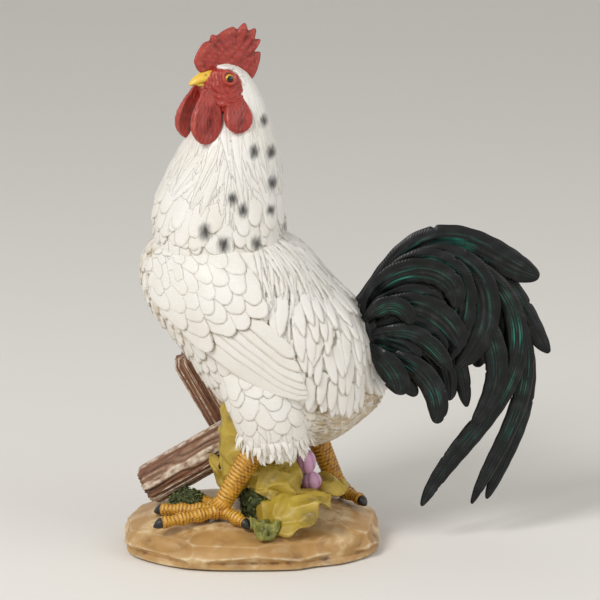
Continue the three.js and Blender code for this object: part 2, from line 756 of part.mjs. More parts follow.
// Tail feather: a vane along its centreline, leaning out with its layer, with a quill groove on both faces
function vane([rootX, rootZ, layer, launch, curl, length, width, early, flick], grow) {
  const steps = Math.round(length / VANE_STEP) + 2;
  const fine = 8;
  const stride = length / (steps * fine);
  const point = vec(rootX, 0, rootZ);
  const rings = [];
  for (let k = 0; k <= steps * fine; k++) {
    const t = k / (steps * fine);
    const heading = launch + curl * (1 - (1 - t) ** early) + flick * Math.sin(turn(t, 1));
    const tangent = direction(0, heading);
    if (k) point.addScaledVector(tangent, stride);
    if (k % fine) continue;
    const tip = Math.sqrt(1 - (0.985 * t) ** 7);
    const half = (width / 2) * lerp(0.45, 1, smoothstep(t, 0, 0.5)) * tip + grow;
    const thick = (VANE_THICK / 2) * lerp(1, 0.8, t) * Math.sqrt(tip) + grow;
    const middle = along(point, tangent, grow * (2 * t - 1));
    middle.y = layer * lerp(0.6, 1, smoothstep(t, 0, 0.3));
    const across = direction(0, heading + 90).applyAxisAngle(tangent, degToRad(-VANE_BANK * layer));
    const face = tangent.clone().cross(across);
    const rim = ([a, b]) => along(middle, across, a * half).addScaledVector(face, b * thick);
    rings.push(VANE_SECTION.map(rim));
  }
  return loft(rings);
}

// Split rail: a bar with weathered ridges and worn ends
function rail({ run, rise, radius }, grow) {
  const axis = direction(0, rise);
  const up = direction(0, rise + 90);
  const sides = RAIL_RIDGES * 2;
  const cuts = [0, 0.05, 0.35, 0.65, 0.95, 1];
  return loft(
    cuts.map((t, n) => {
      const worn = n % (cuts.length - 1) ? 1 : 0.8;
      const middle = axis.clone().multiplyScalar(t * run + grow * (2 * t - 1));
      return Array.from({ length: sides }, (_, s) => {
        const reach = worn * (radius - (s % 2) * RAIL_RIDGE + 1.2 * wave(s, n)) + grow;
        const angle = turn(s, sides);
        return along(middle, Y, reach * Math.cos(angle)).addScaledVector(up, reach * Math.sin(angle));
      });
    }),
  );
}

// Leaf: a sheet with thickness that arches along its rib, cups across it and ruffles at its rim
function leaf({ heading, rise, arch, length, width, cup, ruffle, roll }, grow) {
  const steps = 6;
  const cells = 4;
  const level = direction(heading + 90, 0);
  const middle = vec(0, 0, 0);
  const rings = [];
  for (let k = 0; k <= steps; k++) {
    const u = k / steps;
    const tangent = direction(heading, rise + arch * u);
    const across = level.clone().applyAxisAngle(tangent, degToRad(roll));
    const normal = tangent.clone().cross(across).normalize();
    if (k) middle.addScaledVector(tangent, length / steps);
    const half = (width / 2) * Math.sin(Math.PI * (0.1 + 0.82 * u ** 0.8)) ** 0.6 + grow;
    const spread = Math.sqrt(Math.max(0, Math.sin(Math.PI * u)));
    const rim = (c, face) => {
      const v = (2 * c) / cells - 1;
      const ruffled = ruffle * Math.sin(2 * Math.PI * (2.2 * u + 0.2 * v));
      const thick = (LEAF_THICK / 2) * (1 - 0.55 * v * v);
      const lift = spread * v * v * (cup + ruffled) + face * thick;
      return along(middle, across, v * half).addScaledVector(normal, lift);
    };
    const front = Array.from({ length: cells + 1 }, (_, c) => rim(c, 1));
    const back = Array.from({ length: cells + 1 }, (_, c) => rim(cells - c, -1));
    rings.push([...front, ...back]);
  }
  return loft(rings, grow, cells + 1);
}

// Cushion of moss with a lumpy skin
function moss({ size }, grow) {
  const shape = new THREE.SphereGeometry(1, 10, 6);
  const point = shape.attributes.position;
  for (let i = 0; i < point.count; i++) {
    const p = vec(0, 0, 0).fromBufferAttribute(point, i);
    const lump = 1 + 0.1 * Math.sin(7 * p.x + 3 * p.y) * Math.cos(6 * p.z - 2 * p.y);
    const [x, y, z] = size.map((half) => half * lump + grow);
    point.setXYZ(i, p.x * x, p.y * y, p.z * z);
  }
  return solid(shape);
}

// Bud: a ball with lobes from pole to pole
function bud({ size }, grow) {
  const steps = 6;
  return loft(
    Array.from({ length: steps + 1 }, (_, k) => {
      const slope = Math.PI * lerp(0.06, 0.94, k / steps);
      const middle = vec(0, 0, (size[2] + grow) * Math.cos(slope));
      return ring(middle, X, Y, BUD_LOBES * 2, (angle) => {
        const reach = Math.sin(slope) * (0.94 + 0.06 * Math.cos(BUD_LOBES * angle));
        return [(size[0] * reach + grow) * Math.cos(angle), (size[1] * reach + grow) * Math.sin(angle)];
      });
    }),
  );
}

// Assembly, in the order in which each piece seats on the ones before it
piece(perch, "leg_rod_left", "steel", (grow) => rod(LEG_LEFT, grow));
piece(perch, "leg_rod_right", "steel", (grow) => rod(LEG_RIGHT, grow));
piece(tail, "tail_pin", "steel", tailPin);
piece(ground, "base_felt", "felt", felt);
piece(ground, "base_stone", "stone", stone);
piece(perch, "leg_left", "ochre", (grow) => leg(LEG_LEFT, grow));
piece(perch, "leg_right", "ochre", (grow) => leg(LEG_RIGHT, grow));
piece(bird, "trunk", "white", trunk);

for (const [name, side] of [["eye_left", -1], ["eye_right", 1]]) {
  const place = [EYE_PLACE[0], side * EYE_PLACE[1], EYE_PLACE[2]];
  const ball = { middle: [0, 0, 0], size: [EYE_RADIUS, EYE_RADIUS, EYE_RADIUS] };
  piece(head, name, "eye", (grow) => ellipsoid(ball, grow, 10, 6), place);
}
piece(head, "face", "red", (grow) => ellipsoid(FACE, grow, 12, 8));
piece(head, "beak_upper", "yellow", (grow) => beak(UPPER_BEAK, grow));
piece(head, "beak_lower", "yellow", (grow) => beak(LOWER_BEAK, grow));
piece(bird, "neck_hackle", "white", neck);
piece(bird, "saddle", "white", saddle);
piece(bird, "wing_left", "white", (grow) => wing(-1, grow));
piece(bird, "wing_right", "white", (grow) => wing(1, grow));
piece(bird, "thigh_left", "white", (grow) => thigh(-1, [0, 0, 0], grow));
piece(bird, "thigh_right", "white", (grow) => thigh(1, THIGH_RIGHT_SHIFT, grow));

piece(head, "comb", "red", comb);
piece(head, "wattle_left", "red", (grow) => lobe(WATTLE, -1, grow));
piece(head, "wattle_right", "red", (grow) => lobe(WATTLE, 1, grow));
piece(head, "ear_lobe_left", "red", (grow) => lobe(EAR_LOBE, -1, grow));
piece(head, "ear_lobe_right", "red", (grow) => lobe(EAR_LOBE, 1, grow));

piece(tail, "tail_boss", "black", (grow) => ellipsoid(TAIL_BOSS, grow, 12, 8));
for (const [name, row] of Object.entries(TAIL_FEATHERS)) {
  piece(tail, "tail_" + name, "black", (grow) => vane(row, grow));
}

piece(perch, "rail_lying", "wood", (grow) => rail(RAIL_LYING, grow), RAIL_LYING.from);
piece(perch, "rail_upright", "wood", (grow) => rail(RAIL_UPRIGHT, grow), RAIL_UPRIGHT.from);
for (const [name, spec] of Object.entries(BUDS)) {
  piece(perch, name, "bud", (grow) => bud(spec, grow), spec.middle);
}
for (const [name, spec] of Object.entries(LEAVES)) {
  piece(perch, name, "leaf", (grow) => leaf(spec, grow), spec.stalk);
}
piece(perch, "front_sprig", "sprig", (grow) => leaf(SPRIG, grow), SPRIG.stalk);
for (const [name, spec] of Object.entries(MOSS)) {
  piece(perch, name, "moss", (grow) => moss(spec, grow), spec.middle);
}

export default figure;
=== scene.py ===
"""Looks of the rooster figurine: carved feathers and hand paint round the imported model, in a plain studio."""

import json
import logging
import math
from collections.abc import Callable, Sequence
from dataclasses import dataclass, field, replace
from enum import Enum
from functools import cache

import bpy
import numpy as np
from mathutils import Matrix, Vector

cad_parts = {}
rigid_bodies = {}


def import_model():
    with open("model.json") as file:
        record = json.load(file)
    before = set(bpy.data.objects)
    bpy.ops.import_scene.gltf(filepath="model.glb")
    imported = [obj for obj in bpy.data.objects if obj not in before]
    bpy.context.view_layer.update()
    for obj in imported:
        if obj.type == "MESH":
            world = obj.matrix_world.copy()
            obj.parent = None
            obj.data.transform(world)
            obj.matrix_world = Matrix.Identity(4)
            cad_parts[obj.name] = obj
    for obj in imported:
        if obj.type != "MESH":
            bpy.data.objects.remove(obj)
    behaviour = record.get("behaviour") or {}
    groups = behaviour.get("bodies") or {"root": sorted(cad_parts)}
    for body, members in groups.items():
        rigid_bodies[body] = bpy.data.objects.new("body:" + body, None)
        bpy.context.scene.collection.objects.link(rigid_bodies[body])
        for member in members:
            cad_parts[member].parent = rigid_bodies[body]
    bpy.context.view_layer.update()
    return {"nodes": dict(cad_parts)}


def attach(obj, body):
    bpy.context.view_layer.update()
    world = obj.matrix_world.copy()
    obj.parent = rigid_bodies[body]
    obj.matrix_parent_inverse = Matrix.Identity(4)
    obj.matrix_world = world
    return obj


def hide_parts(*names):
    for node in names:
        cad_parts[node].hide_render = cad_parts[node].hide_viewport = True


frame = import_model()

log = logging.getLogger("rooster")

MM = 0.001

# World height of the stone's top and of the middle of the trunk, mm
STONE_TOP = 29.0
TRUNK_MIDDLE = STONE_TOP + 151.0
# How far a trimmed skin reaches into the body under it, mm
SKIN_DEPTH = 3.0

Array = np.ndarray
Fields = dict[str, Array]
Piece = bpy.types.Object
Place = tuple[float, float, float]


class Side(Enum):
    """Side of the bird: its left faces the camera, at -Y."""

    LEFT = -1
    RIGHT = 1


class Paint(Enum):
    """Finishes on the figurine, each with a short name."""

    PLUMAGE = "feathers"
    TAIL = "tail_black"
    COMB = "comb_red"
    BEAK = "beak"
    SCALES = "legs"
    LEAF = "leaves"
    SPRIG = "sprig"
    MOSS = "moss"
    BUD = "buds"
    RAIL = "rails"
    STONE = "stone"
    EYE = "eyes"
    FELT = "felt"
    STEEL = "steel"


# Numbers and curves


def smooth(value: Array, low: float, high: float) -> Array:
    """Smooth step of a value between two limits, from 0 to 1."""
    share = np.clip((value - low) / (high - low), 0.0, 1.0)
    return share * share * (3.0 - 2.0 * share)


def lerp(start: Array, end: Array, share: Array) -> Array:
    """Value between two others."""
    return start + (end - start) * share


def bell(value: Array, width: float) -> Array:
    """Bell curve round zero with the given half width."""
    return np.exp(-((value / width) ** 2))


def signed_power(value: Array, power: float) -> Array:
    """Power of a value that keeps its sign."""
    return np.sign(value) * np.abs(value) ** power


def unit(vector: Array) -> Array:
    """Vectors scaled to length one along their last axis."""
    length = np.linalg.norm(vector, axis=-1, keepdims=True)
    return vector / np.maximum(length, 1e-9)


def heading(level: float, slope: float) -> Array:
    """Direction from a level heading and a slope, both in degrees."""
    turn, rise = math.radians(level), math.radians(slope)
    return np.array([math.cos(rise) * math.cos(turn), math.cos(rise) * math.sin(turn), math.sin(rise)])


def full_turn(count: int) -> Array:
    """Angles in radians, evenly round a full turn."""
    return np.linspace(0, 2 * math.pi, count, endpoint=False)


def grid_of(*parts: Array) -> Array:
    """Points from their coordinates, each of which is spread over one common grid."""
    return np.stack(np.broadcast_arrays(*parts), axis=-1)


def on_stone(place: Sequence[float]) -> Array:
    """Place in the figurine's frame, of one whose height counts from the stone's top."""
    return np.array(place, float) + np.array([0, 0, STONE_TOP])


def between(rows: Sequence[Sequence[float]], share: Array) -> Array:
    """Smooth values of a list of rows at the given shares of its length.

    Args:
        rows: Rows of equal length, evenly spread from share 0 to 1.
        share: Shares between 0 and 1.

    Returns:
        One row of values for each share.
    """
    table = np.asarray(rows, float)
    last = len(table) - 1
    place = np.clip(np.asarray(share, float), 0.0, 1.0) * last
    step = np.minimum(place.astype(int), last - 1)
    part = (place - step)[..., None]
    p0, p1, p2, p3 = (table[np.clip(step + k, 0, last)] for k in (-1, 0, 1, 2))
    bend = 2 * p0 - 5 * p1 + 4 * p2 - p3
    swing = 3 * p1 - 3 * p2 + p3 - p0
    return p1 + 0.5 * part * (p2 - p0 + part * (bend + part * swing))


def mottle(points: Array, size: float, seed: int, waves: int = 10) -> Array:
    """Uneven field of soft lumps, roughly between -1 and 1.

    Args:
        points: Places in mm.
        size: Distance across a lump and its neighbour, in mm.
        seed: Number that picks the pattern.
        waves: How many crossing waves make the lumps.

    Returns:
        One value for each point.
    """
    chance = np.random.default_rng(seed)
    total = np.zeros(points.shape[:-1])
    for _ in range(waves):
        wave = unit(chance.normal(size=3)) * (2 * math.pi / size) * chance.uniform(0.6, 1.4)
        total += np.sin(points @ wave + chance.uniform(0, 2 * math.pi))
    return total / math.sqrt(waves)


# Meshes


def mesh_piece(name: str, points: Array, faces: Sequence[Array], fields: Fields | None = None) -> Piece:
    """Makes a smooth mesh object from points in mm.

    Args:
        name: Name of the piece.
        points: Vertices, one row each.
        faces: Arrays of triangles or quads.
        fields: Values for each vertex, which the paint reads.

    Returns:
        The object, linked to the scene.
    """
    mesh = bpy.data.meshes.new(name)
    mesh.vertices.add(len(points))
    mesh.vertices.foreach_set("co", (np.asarray(points, float) * MM).ravel())
    corners = np.concatenate([group.ravel() for group in faces])
    counts = np.concatenate([np.full(len(group), group.shape[1]) for group in faces])
    mesh.loops.add(len(corners))
    mesh.loops.foreach_set("vertex_index", corners.astype(np.int32))
    mesh.polygons.add(len(counts))
    mesh.polygons.foreach_set("loop_start", (np.cumsum(counts) - counts).astype(np.int32))
    mesh.polygons.foreach_set("use_smooth", np.ones(len(counts), bool))
    mesh.update(calc_edges=True)
    for key, values in (fields or {}).items():
        layer = mesh.attributes.new(key, "FLOAT", "POINT")
        layer.data.foreach_set("value", np.asarray(values, np.float32).ravel())
    piece = bpy.data.objects.new(name, mesh)
    bpy.context.scene.collection.objects.link(piece)
    return piece


def grid_quads(rows: int, columns: int, closed: bool) -> Array:
    """Quads of a grid of vertices.

    Args:
        rows: Number of rows.
        columns: Number of columns.
        closed: Whether the columns run round.

    Returns:
        Four vertex numbers for each quad.
    """
    wide = columns if closed else columns - 1
    row, column = np.meshgrid(np.arange(rows - 1), np.arange(wide), indexing="ij")
    here = (row * columns + column).ravel()
    right = (row * columns + (column + 1) % columns).ravel()
    return np.stack([here, right, right + columns, here + columns], axis=1)


def grid_normals(points: Array, closed: bool) -> Array:
    """Unit normals of a grid of points, turned away from its middle.

    Args:
        points: Grid of points, rows x columns x 3.
        closed: Whether the columns run round.

    Returns:
        One normal for each point.
    """
    if closed:
        across = np.roll(points, -1, axis=1) - np.roll(points, 1, axis=1)
    else:
        across = np.gradient(points, axis=1)
    normal = unit(np.cross(across, np.gradient(points, axis=0)))
    middle = points.mean(axis=1, keepdims=True)
    return normal if np.mean(np.sum(normal * (points - middle), axis=-1)) > 0 else -normal


def turned_out(vertices: Array, faces: Sequence[Array]) -> list[Array]:
    """Faces of a closed body, turned to look outward.

    Args:
        vertices: Vertices, one row each.
        faces: Arrays of triangles or quads, which all turn the same way.

    Returns:
        The same arrays, turned over where the body's signed volume is negative.
    """
    volume = 0.0
    for group in faces:
        for k in range(1, group.shape[1] - 1):
            a, b, c = (vertices[group[:, i]] for i in (0, k, k + 1))
            volume += float(np.sum(a * np.cross(b, c)))
    return [group[:, ::-1] if volume < 0 else group for group in faces]


def loft_piece(name: str, points: Array, fields: Fields | None = None) -> Piece:
    """Makes a closed body through rings, with each end closed on its middle.

    Args:
        name: Name of the piece.
        points: Rings of points, shaped rings x points x 3.
        fields: Values that the paint reads, which spread over the points; an end repeats its ring's mean.

    Returns:
        The body as an object.
    """
    rings, count, _ = points.shape
    vertices = np.concatenate([points.reshape(-1, 3), points[0].mean(0)[None], points[-1].mean(0)[None]])
    ring = np.arange(count)
    after = (ring + 1) % count
    last = (rings - 1) * count
    low = np.stack([np.full(count, rings * count), after, ring], axis=1)
    high = np.stack([np.full(count, rings * count + 1), last + ring, last + after], axis=1)
    faces = turned_out(vertices, [grid_quads(rings, count, True), low, high])
    ends = {}
    for key, values in (fields or {}).items():
        values = np.broadcast_to(values, points.shape[:2])
        ends[key] = np.concatenate([values.ravel(), [values[0].mean(), values[-1].mean()]])
    return mesh_piece(name, vertices, faces, ends)


def shell_piece(
    name: str, outer: Array, inner: Array, keep: Array, fields: Fields, closed: bool = False
) -> Piece:
    """Makes a closed shell from two sheets of one grid, trimmed to the faces that are kept.

    Args:
        name: Name of the piece.
        outer: Outer sheet, rows x columns x 3.
        inner: Inner sheet of the same shape.
        keep: Whether each vertex belongs to the shell, rows x columns.
        fields: Values for each vertex of the outer sheet.
        closed: Whether the columns run round; the first row is then closed on its middle.

    Returns:
        The shell as an object.
    """
    rows, columns, _ = outer.shape
    quads = grid_quads(rows, columns, closed)
    quads = quads[keep.ravel()[quads].all(axis=1)]
    sheets = [np.concatenate([sheet.reshape(-1, 3), sheet[0].mean(0)[None]]) for sheet in (outer, inner)]
    count = len(sheets[0])
    ring = np.arange(columns)
    fan = np.stack([(ring + 1) % columns, ring, np.full(columns, count - 1)], axis=1)
    fan = fan if closed else fan[:0]
    edges = [quads[:, [k, (k + 1) % 4]] for k in range(4)] + [fan[:, [k, (k + 1) % 3]] for k in range(3)]
    edges = np.concatenate(edges)
    code = edges[:, 0].astype(np.int64) * count + edges[:, 1]
    back = edges[:, 1].astype(np.int64) * count + edges[:, 0]
    rim = edges[~np.isin(code, back)]
    for sheet in sheets:
        soften_rim(sheet, rim)
    walls = np.stack([rim[:, 1], rim[:, 0], rim[:, 0] + count, rim[:, 1] + count], axis=1)
    groups = [
        np.concatenate([quads, quads[:, ::-1] + count, walls]),
        np.concatenate([fan, fan[:, ::-1] + count]),
    ]
    used = np.unique(np.concatenate([group.ravel() for group in groups]))
    new = np.zeros(2 * count, np.int64)
    new[used] = np.arange(len(used))
    points = np.concatenate(sheets)[used]
    groups = turned_out(points, [new[group] for group in groups])
    values = {key: np.tile(np.append(value, value[0].mean()), 2)[used] for key, value in fields.items()}
    return mesh_piece(name, points, groups, values)


def soften_rim(sheet: Array, rim: Array, passes: int = 3) -> None:
    """Evens out the steps that trimming leaves along the rim of a sheet.

    Args:
        sheet: Vertices of the sheet, which are moved.
        rim: Pairs of vertex numbers along the rim.
        passes: How often it is evened out.
    """
    for _ in range(passes):
        total = np.zeros_like(sheet)
        share = np.zeros(len(sheet))
        for a, b in ((0, 1), (1, 0)):
            np.add.at(total, rim[:, a], sheet[rim[:, b]])
            np.add.at(share, rim[:, a], 1.0)
        on_rim = share == 2
        sheet[on_rim] = 0.5 * sheet[on_rim] + 0.25 * total[on_rim]


def join(pieces: Sequence[Piece], name: str) -> Piece:
    """Joins meshes into one object.

    Args:
        pieces: Objects to join.
        name: Name of the whole.

    Returns:
        The whole.
    """
    for piece in bpy.context.view_layer.objects:
        piece.select_set(piece in pieces)
    bpy.context.view_layer.objects.active = pieces[0]
    bpy.ops.object.join()
    pieces[0].name = name
    pieces[0].data.name = name
    return pieces[0]


# Feather carving


@dataclass(frozen=True)
class Cut:
    """How one kind of feather is carved, in mm.

    Args:
        length: Length that shows, with the part under its neighbours.
        width: Full width.
        rise: Height of its free edge over the ground.
        taper: Share of the length where the sides start to close.
        point: Sharpness of the tip: 0.5 is round, 1 is a lance.
        rim: Width of the rounded edge.
        tilt: How much its lower side stands prouder than the upper one.
        bend: Sideways bow at the tip, as a share of the half width.
        stray: How far each feather turns away from its neighbours' direction.
        sweep: How late along its length it rises: 1 is even.
    """

    length: float
    width: float
    rise: float
    taper: float = 0.45
    point: float = 0.5
    rim: float = 1.2
    tilt: float = 0.0
    bend: float = 0.0
    stray: float = 0.08
    sweep: float = 1.0


@dataclass
class Plume:
    """One feather laid on a skin: its cut, where it is rooted and which way it runs."""

    cut: Cut
    root: Array
    run: Array
    normal: Array
    scale: float = 1.0
    lift: float = 0.0
    side: int = 1


@dataclass
class Relief:
    """What the carving leaves on each point of a skin."""

    height: Array
    along: Array
    across: Array
    feather: Array


def carve(
    points: Array, normals: Array, plumes: Sequence[Plume], ground: float = 0.0, seed: int = 1
) -> Relief:
    """Lays feathers over each other on a skin; the highest one shows.

    Args:
        points: Skin points in mm, any shape x 3.
        normals: Their normals.
        plumes: Feathers to lay.
        ground: Height where no feather lies.
        seed: Number that picks the small differences between feathers.

    Returns:
        Height, place on the feather in mm and a random number of the feather, for each point.
    """
    flat = points.reshape(-1, 3)
    facing = normals.reshape(-1, 3)
    count = len(flat)
    height = np.full(count, ground)
    along, across, feather = np.zeros(count), np.zeros(count), np.full(count, 0.5)
    chance = np.random.default_rng(seed)
    for plume in plumes:
        cut = plume.cut
        length, half = cut.length * plume.scale, 0.5 * cut.width * plume.scale
        number = chance.random()
        sideways = np.cross(plume.normal, plume.run) * plume.side
        run = unit(plume.run + cut.stray * chance.normal() * sideways)
        middle = plume.root + 0.5 * length * run
        reach = 0.5 * length + half
        near = np.flatnonzero(np.abs(flat - middle).max(axis=1) < reach)
        if not len(near):
            continue
        offset = flat[near] - plume.root
        share = offset @ run / length
        sideways = np.cross(plume.normal, run) * plume.side
        bow = cut.bend * share * share + 0.1 * np.sin(4.0 * share + 6.3 * number) * share
        spread = offset @ sideways / half - bow
        closing = np.clip((share - cut.taper) / (1.0 - cut.taper), 0.0, 1.0)
        frayed = 1.0 + 0.06 * np.sin(17.0 * share + 40.0 * number) * share
        outline = frayed * np.clip(share * 6.0, 0.0, 1.0) ** 0.5 * (1.0 - closing**2) ** cut.point
        edge = np.minimum((outline - np.abs(spread)) * half, (1.0 - share) * length * 0.7)
        inside = (edge > 0) & (share > 0) & (facing[near] @ plume.normal > 0.2)
        near, share, spread, edge = near[inside], share[inside], spread[inside], edge[inside]
        rounded = np.sqrt(np.clip(edge / cut.rim, 0.0, 1.0))
        crown = 0.25 * (1.0 - spread**2) * share - cut.tilt * spread
        top = plume.lift + cut.rise * ((0.12 + 0.88 * share**cut.sweep + crown) * (0.45 + 0.55 * rounded))
        better = top > height[near]
        near = near[better]
        height[near] = top[better]
        along[near], across[near], feather[near] = share[better] * length, spread[better] * half, number
    shape = points.shape[:-1]
    return Relief(height.reshape(shape), along.reshape(shape), across.reshape(shape), feather.reshape(shape))


def creases(height: Array, closed: bool, passes: int, depth: float) -> Array:
    """How deep each grid point lies below its surroundings, where the dark wash settles.

    Args:
        height: Height of the relief at each point of a grid.
        closed: Whether the columns run round.
        passes: How often the surroundings are softened.
        depth: Depth in mm that counts as 1.

    Returns:
        One value from 0 to 1 for each point.
    """
    soft = height
    for _ in range(passes):
        column = np.roll(soft, 1, 1) + np.roll(soft, -1, 1)
        if not closed:
            column[:, 0], column[:, -1] = 2 * soft[:, 0], 2 * soft[:, -1]
        row = np.concatenate([soft[:1], soft[:-1]]) + np.concatenate([soft[1:], soft[-1:]])
        soft = 0.2 * (soft + column + row)
    return np.clip((soft - height) / depth, 0.0, 1.0)


def scatter(
    points: Array, flow: Array, where: Array, long: float, wide: float, seed: int, tries: int = 9000
) -> Array:
    """Picks evenly spread places for feathers on a skin.

    Args:
        points: Points of the skin, one row each.
        flow: Direction of the feather at each point.
        where: Whether a feather may be rooted at each point.
        long: Least distance along the feather between neighbours, mm.
        wide: Least distance across it, mm.
        seed: Number that picks the order in which places are tried.
        tries: How many places are tried at most.

    Returns:
        Indices of the picked points.
    """
    places = np.flatnonzero(where)
    order = np.random.default_rng(seed).permutation(len(places))[:tries]
    taken = np.empty((0, 3))
    picked = []
    for index in places[order]:
        offset = taken - points[index]
        along = offset @ flow[index]
        beside = np.linalg.norm(offset - along[:, None] * flow[index], axis=1)
        if len(taken) and np.min((along / long) ** 2 + (beside / wide) ** 2) < 1.0:
            continue
        picked.append(index)
        taken = np.concatenate([taken, points[index][None]])
    return np.array(picked)


def settle(flow: Array, normals: Array) -> Array:
    """Directions laid flat on the skin."""
    return unit(flow - np.sum(flow * normals, axis=-1, keepdims=True) * normals)


# Plumage


def even_shares(path: Callable[[Array], Array], count: int) -> Array:
    """Shares that are evenly spaced along a path of points.

    Args:
        path: Gives the points at shares from 0 to 1.
        count: How many shares.

    Returns:
        The shares, from 0 to 1.
    """
    share = np.linspace(0.0, 1.0, 600)
    steps = np.linalg.norm(np.diff(path(share), axis=0), axis=1)
    length = np.concatenate([[0.0], np.cumsum(steps)])
    return np.interp(np.linspace(0.0, length[-1], count), length, share)


def oval(turn: Array, wide: Array, high: Array, fullness: float) -> tuple[Array, Array]:
    """Point of a full oval at a turn in radians."""
    power = 2.0 / fullness
    return wide * signed_power(np.cos(turn), power), high * signed_power(np.sin(turn), power)


@dataclass
class Trunk:
    """Trunk casting: breast scales in front and soft fluff under the tail.

    Its slices stand square to an axis that slopes down to the tail.
    """

    pitch: float = 28.0
    fullness: float = 2.15
    # Rings of the mesh and points on each
    grid: tuple[int, int] = (240, 380)
    # Forward places, and heights turned over, between which the scales give way to fluff
    vent_forward: tuple[float, float] = (38, 56)
    vent_under: tuple[float, float] = (-140, -122)
    # along, rise, half height, half width
    rows: tuple = (
        (-93, 9, 6, 7), (-86, 7, 19, 21), (-73, 5, 31, 34), (-59, 7, 41, 44), (-30, 7, 54, 55),
        (3, 0, 64, 59), (40, -10, 61, 57), (64, -15, 57, 50), (83, -20, 48, 41), (97, -25, 33, 30),
        (108, -19, 21, 19), (117, -13, 5, 6),
    )
    scale: Cut = Cut(length=15, width=13, rise=2.0, taper=0.05, rim=1.0)
    fluff: Cut = Cut(length=24, width=4.6, rise=1.0, taper=0.2, point=0.9, rim=1.2, bend=0.5, stray=0.25)

    def axes(self) -> tuple[Array, Array]:
        """Direction of the trunk's axis and the direction square to it."""
        return heading(0, -self.pitch), heading(0, 90 - self.pitch)

    def skin(self, share: Array, turn: Array) -> Array:
        """Points of the skin.

        Args:
            share: Place along the axis, from the breast to the tail.
            turn: Angle round it in radians, a quarter turn at the back.

        Returns:
            One point for each share and turn.
        """
        axis, up = self.axes()
        along, rise, high, wide = np.moveaxis(between(self.rows, share), -1, 0)
        beside, above = oval(turn, wide, high, self.fullness)
        points = along[..., None] * axis + (rise + above)[..., None] * up
        points[..., 1] += beside
        points[..., 2] += TRUNK_MIDDLE
        return points

    def flank(self, x: Array, z: Array, side: Side) -> Array:
        """Points of the skin on one side, at places given as seen from that side.

        Args:
            x: Forward place, mm.
            z: Height, mm.
            side: Side of the bird.

        Returns:
            One point for each place.
        """
        axis, up = self.axes()
        points = grid_of(x, 0.0, z)
        local = points - np.array([0, 0, TRUNK_MIDDLE])
        share = np.linspace(0.0, 1.0, 500)
        place = np.interp(local @ axis, between(self.rows, share)[:, 0], share)
        _, rise, high, wide = np.moveaxis(between(self.rows, place), -1, 0)
        above = (np.abs(local @ up - rise) / high) ** self.fullness
        points[..., 1] = side.value * wide * np.clip(1.0 - above, 0.0, 1.0) ** (1.0 / self.fullness)
        return points

    def build(self) -> list[Piece]:
        """Carves the trunk.

        Returns:
            The dressed pieces.
        """
        share = even_shares(lambda s: self.skin(s, np.full_like(s, -0.5 * math.pi)), self.grid[0])
        turn = full_turn(self.grid[1])
        points = self.skin(*np.meshgrid(share, turn, indexing="ij"))
        normals = grid_normals(points, True)
        flat, facing = points.reshape(-1, 3), normals.reshape(-1, 3)
        vent = smooth(flat[:, 0], *self.vent_forward) * smooth(-flat[:, 2], *self.vent_under)

        chance = np.random.default_rng(12)
        down = settle(np.array([0.5, 0.0, -1.0]) + 0.15 * mottle(flat, 40, seed=13)[:, None], facing)
        back = settle(np.array([0.9, 0.0, -0.25]), facing)
        plumes = []
        for cut, flow, where, long, wide in (
            (self.scale, down, vent < 0.4, 8.0, 8.0),
            (self.fluff, back, vent > 0.1, 9.0, 3.4),
        ):
            for index in scatter(flat, flow, where & (facing[:, 2] < 0.75), long, wide, seed=11):
                start = flat[index] - 0.5 * cut.length * flow[index]
                plumes.append(Plume(cut, start, flow[index], facing[index], chance.uniform(0.8, 1.15)))
        relief = carve(points, normals, plumes)
        shape = points + normals * relief.height[..., None]
        fields = plumage_fields(relief, True)
        # Beige tone under the tail and on the front of the breast; on the breast it is partly a brown stain and
        # partly painted shade. The wash in the creases is stronger towards the front.
        breast_stain_and_shade = 0.75 * smooth(-points[..., 0], 30, 68) * smooth(mottle(points, 12, seed=14), -0.8, 1.0)
        fields["tone"] = np.maximum(vent.reshape(share.size, turn.size), breast_stain_and_shade)
        fields["crease"] *= 1.1 + 0.9 * smooth(-points[..., 0], 20, 66)
        return [cast("trunk", shape, fields, Paint.PLUMAGE, "skin")]


def plumage_fields(relief: Relief, closed: bool) -> Fields:
    """Values that the plumage paint reads: dark creases, place on the feather and the feather's number.

    Args:
        relief: What the carving left on the skin.
        closed: Whether the skin's columns run round.

    Returns:
        One grid of values for each name.
    """
    return {
        "crease": creases(relief.height, closed, passes=4, depth=0.45),
        "along": relief.along,
        "across": relief.across,
        "feather": relief.feather,
        "tone": np.zeros_like(relief.height),
        "spot": np.zeros_like(relief.height),
    }


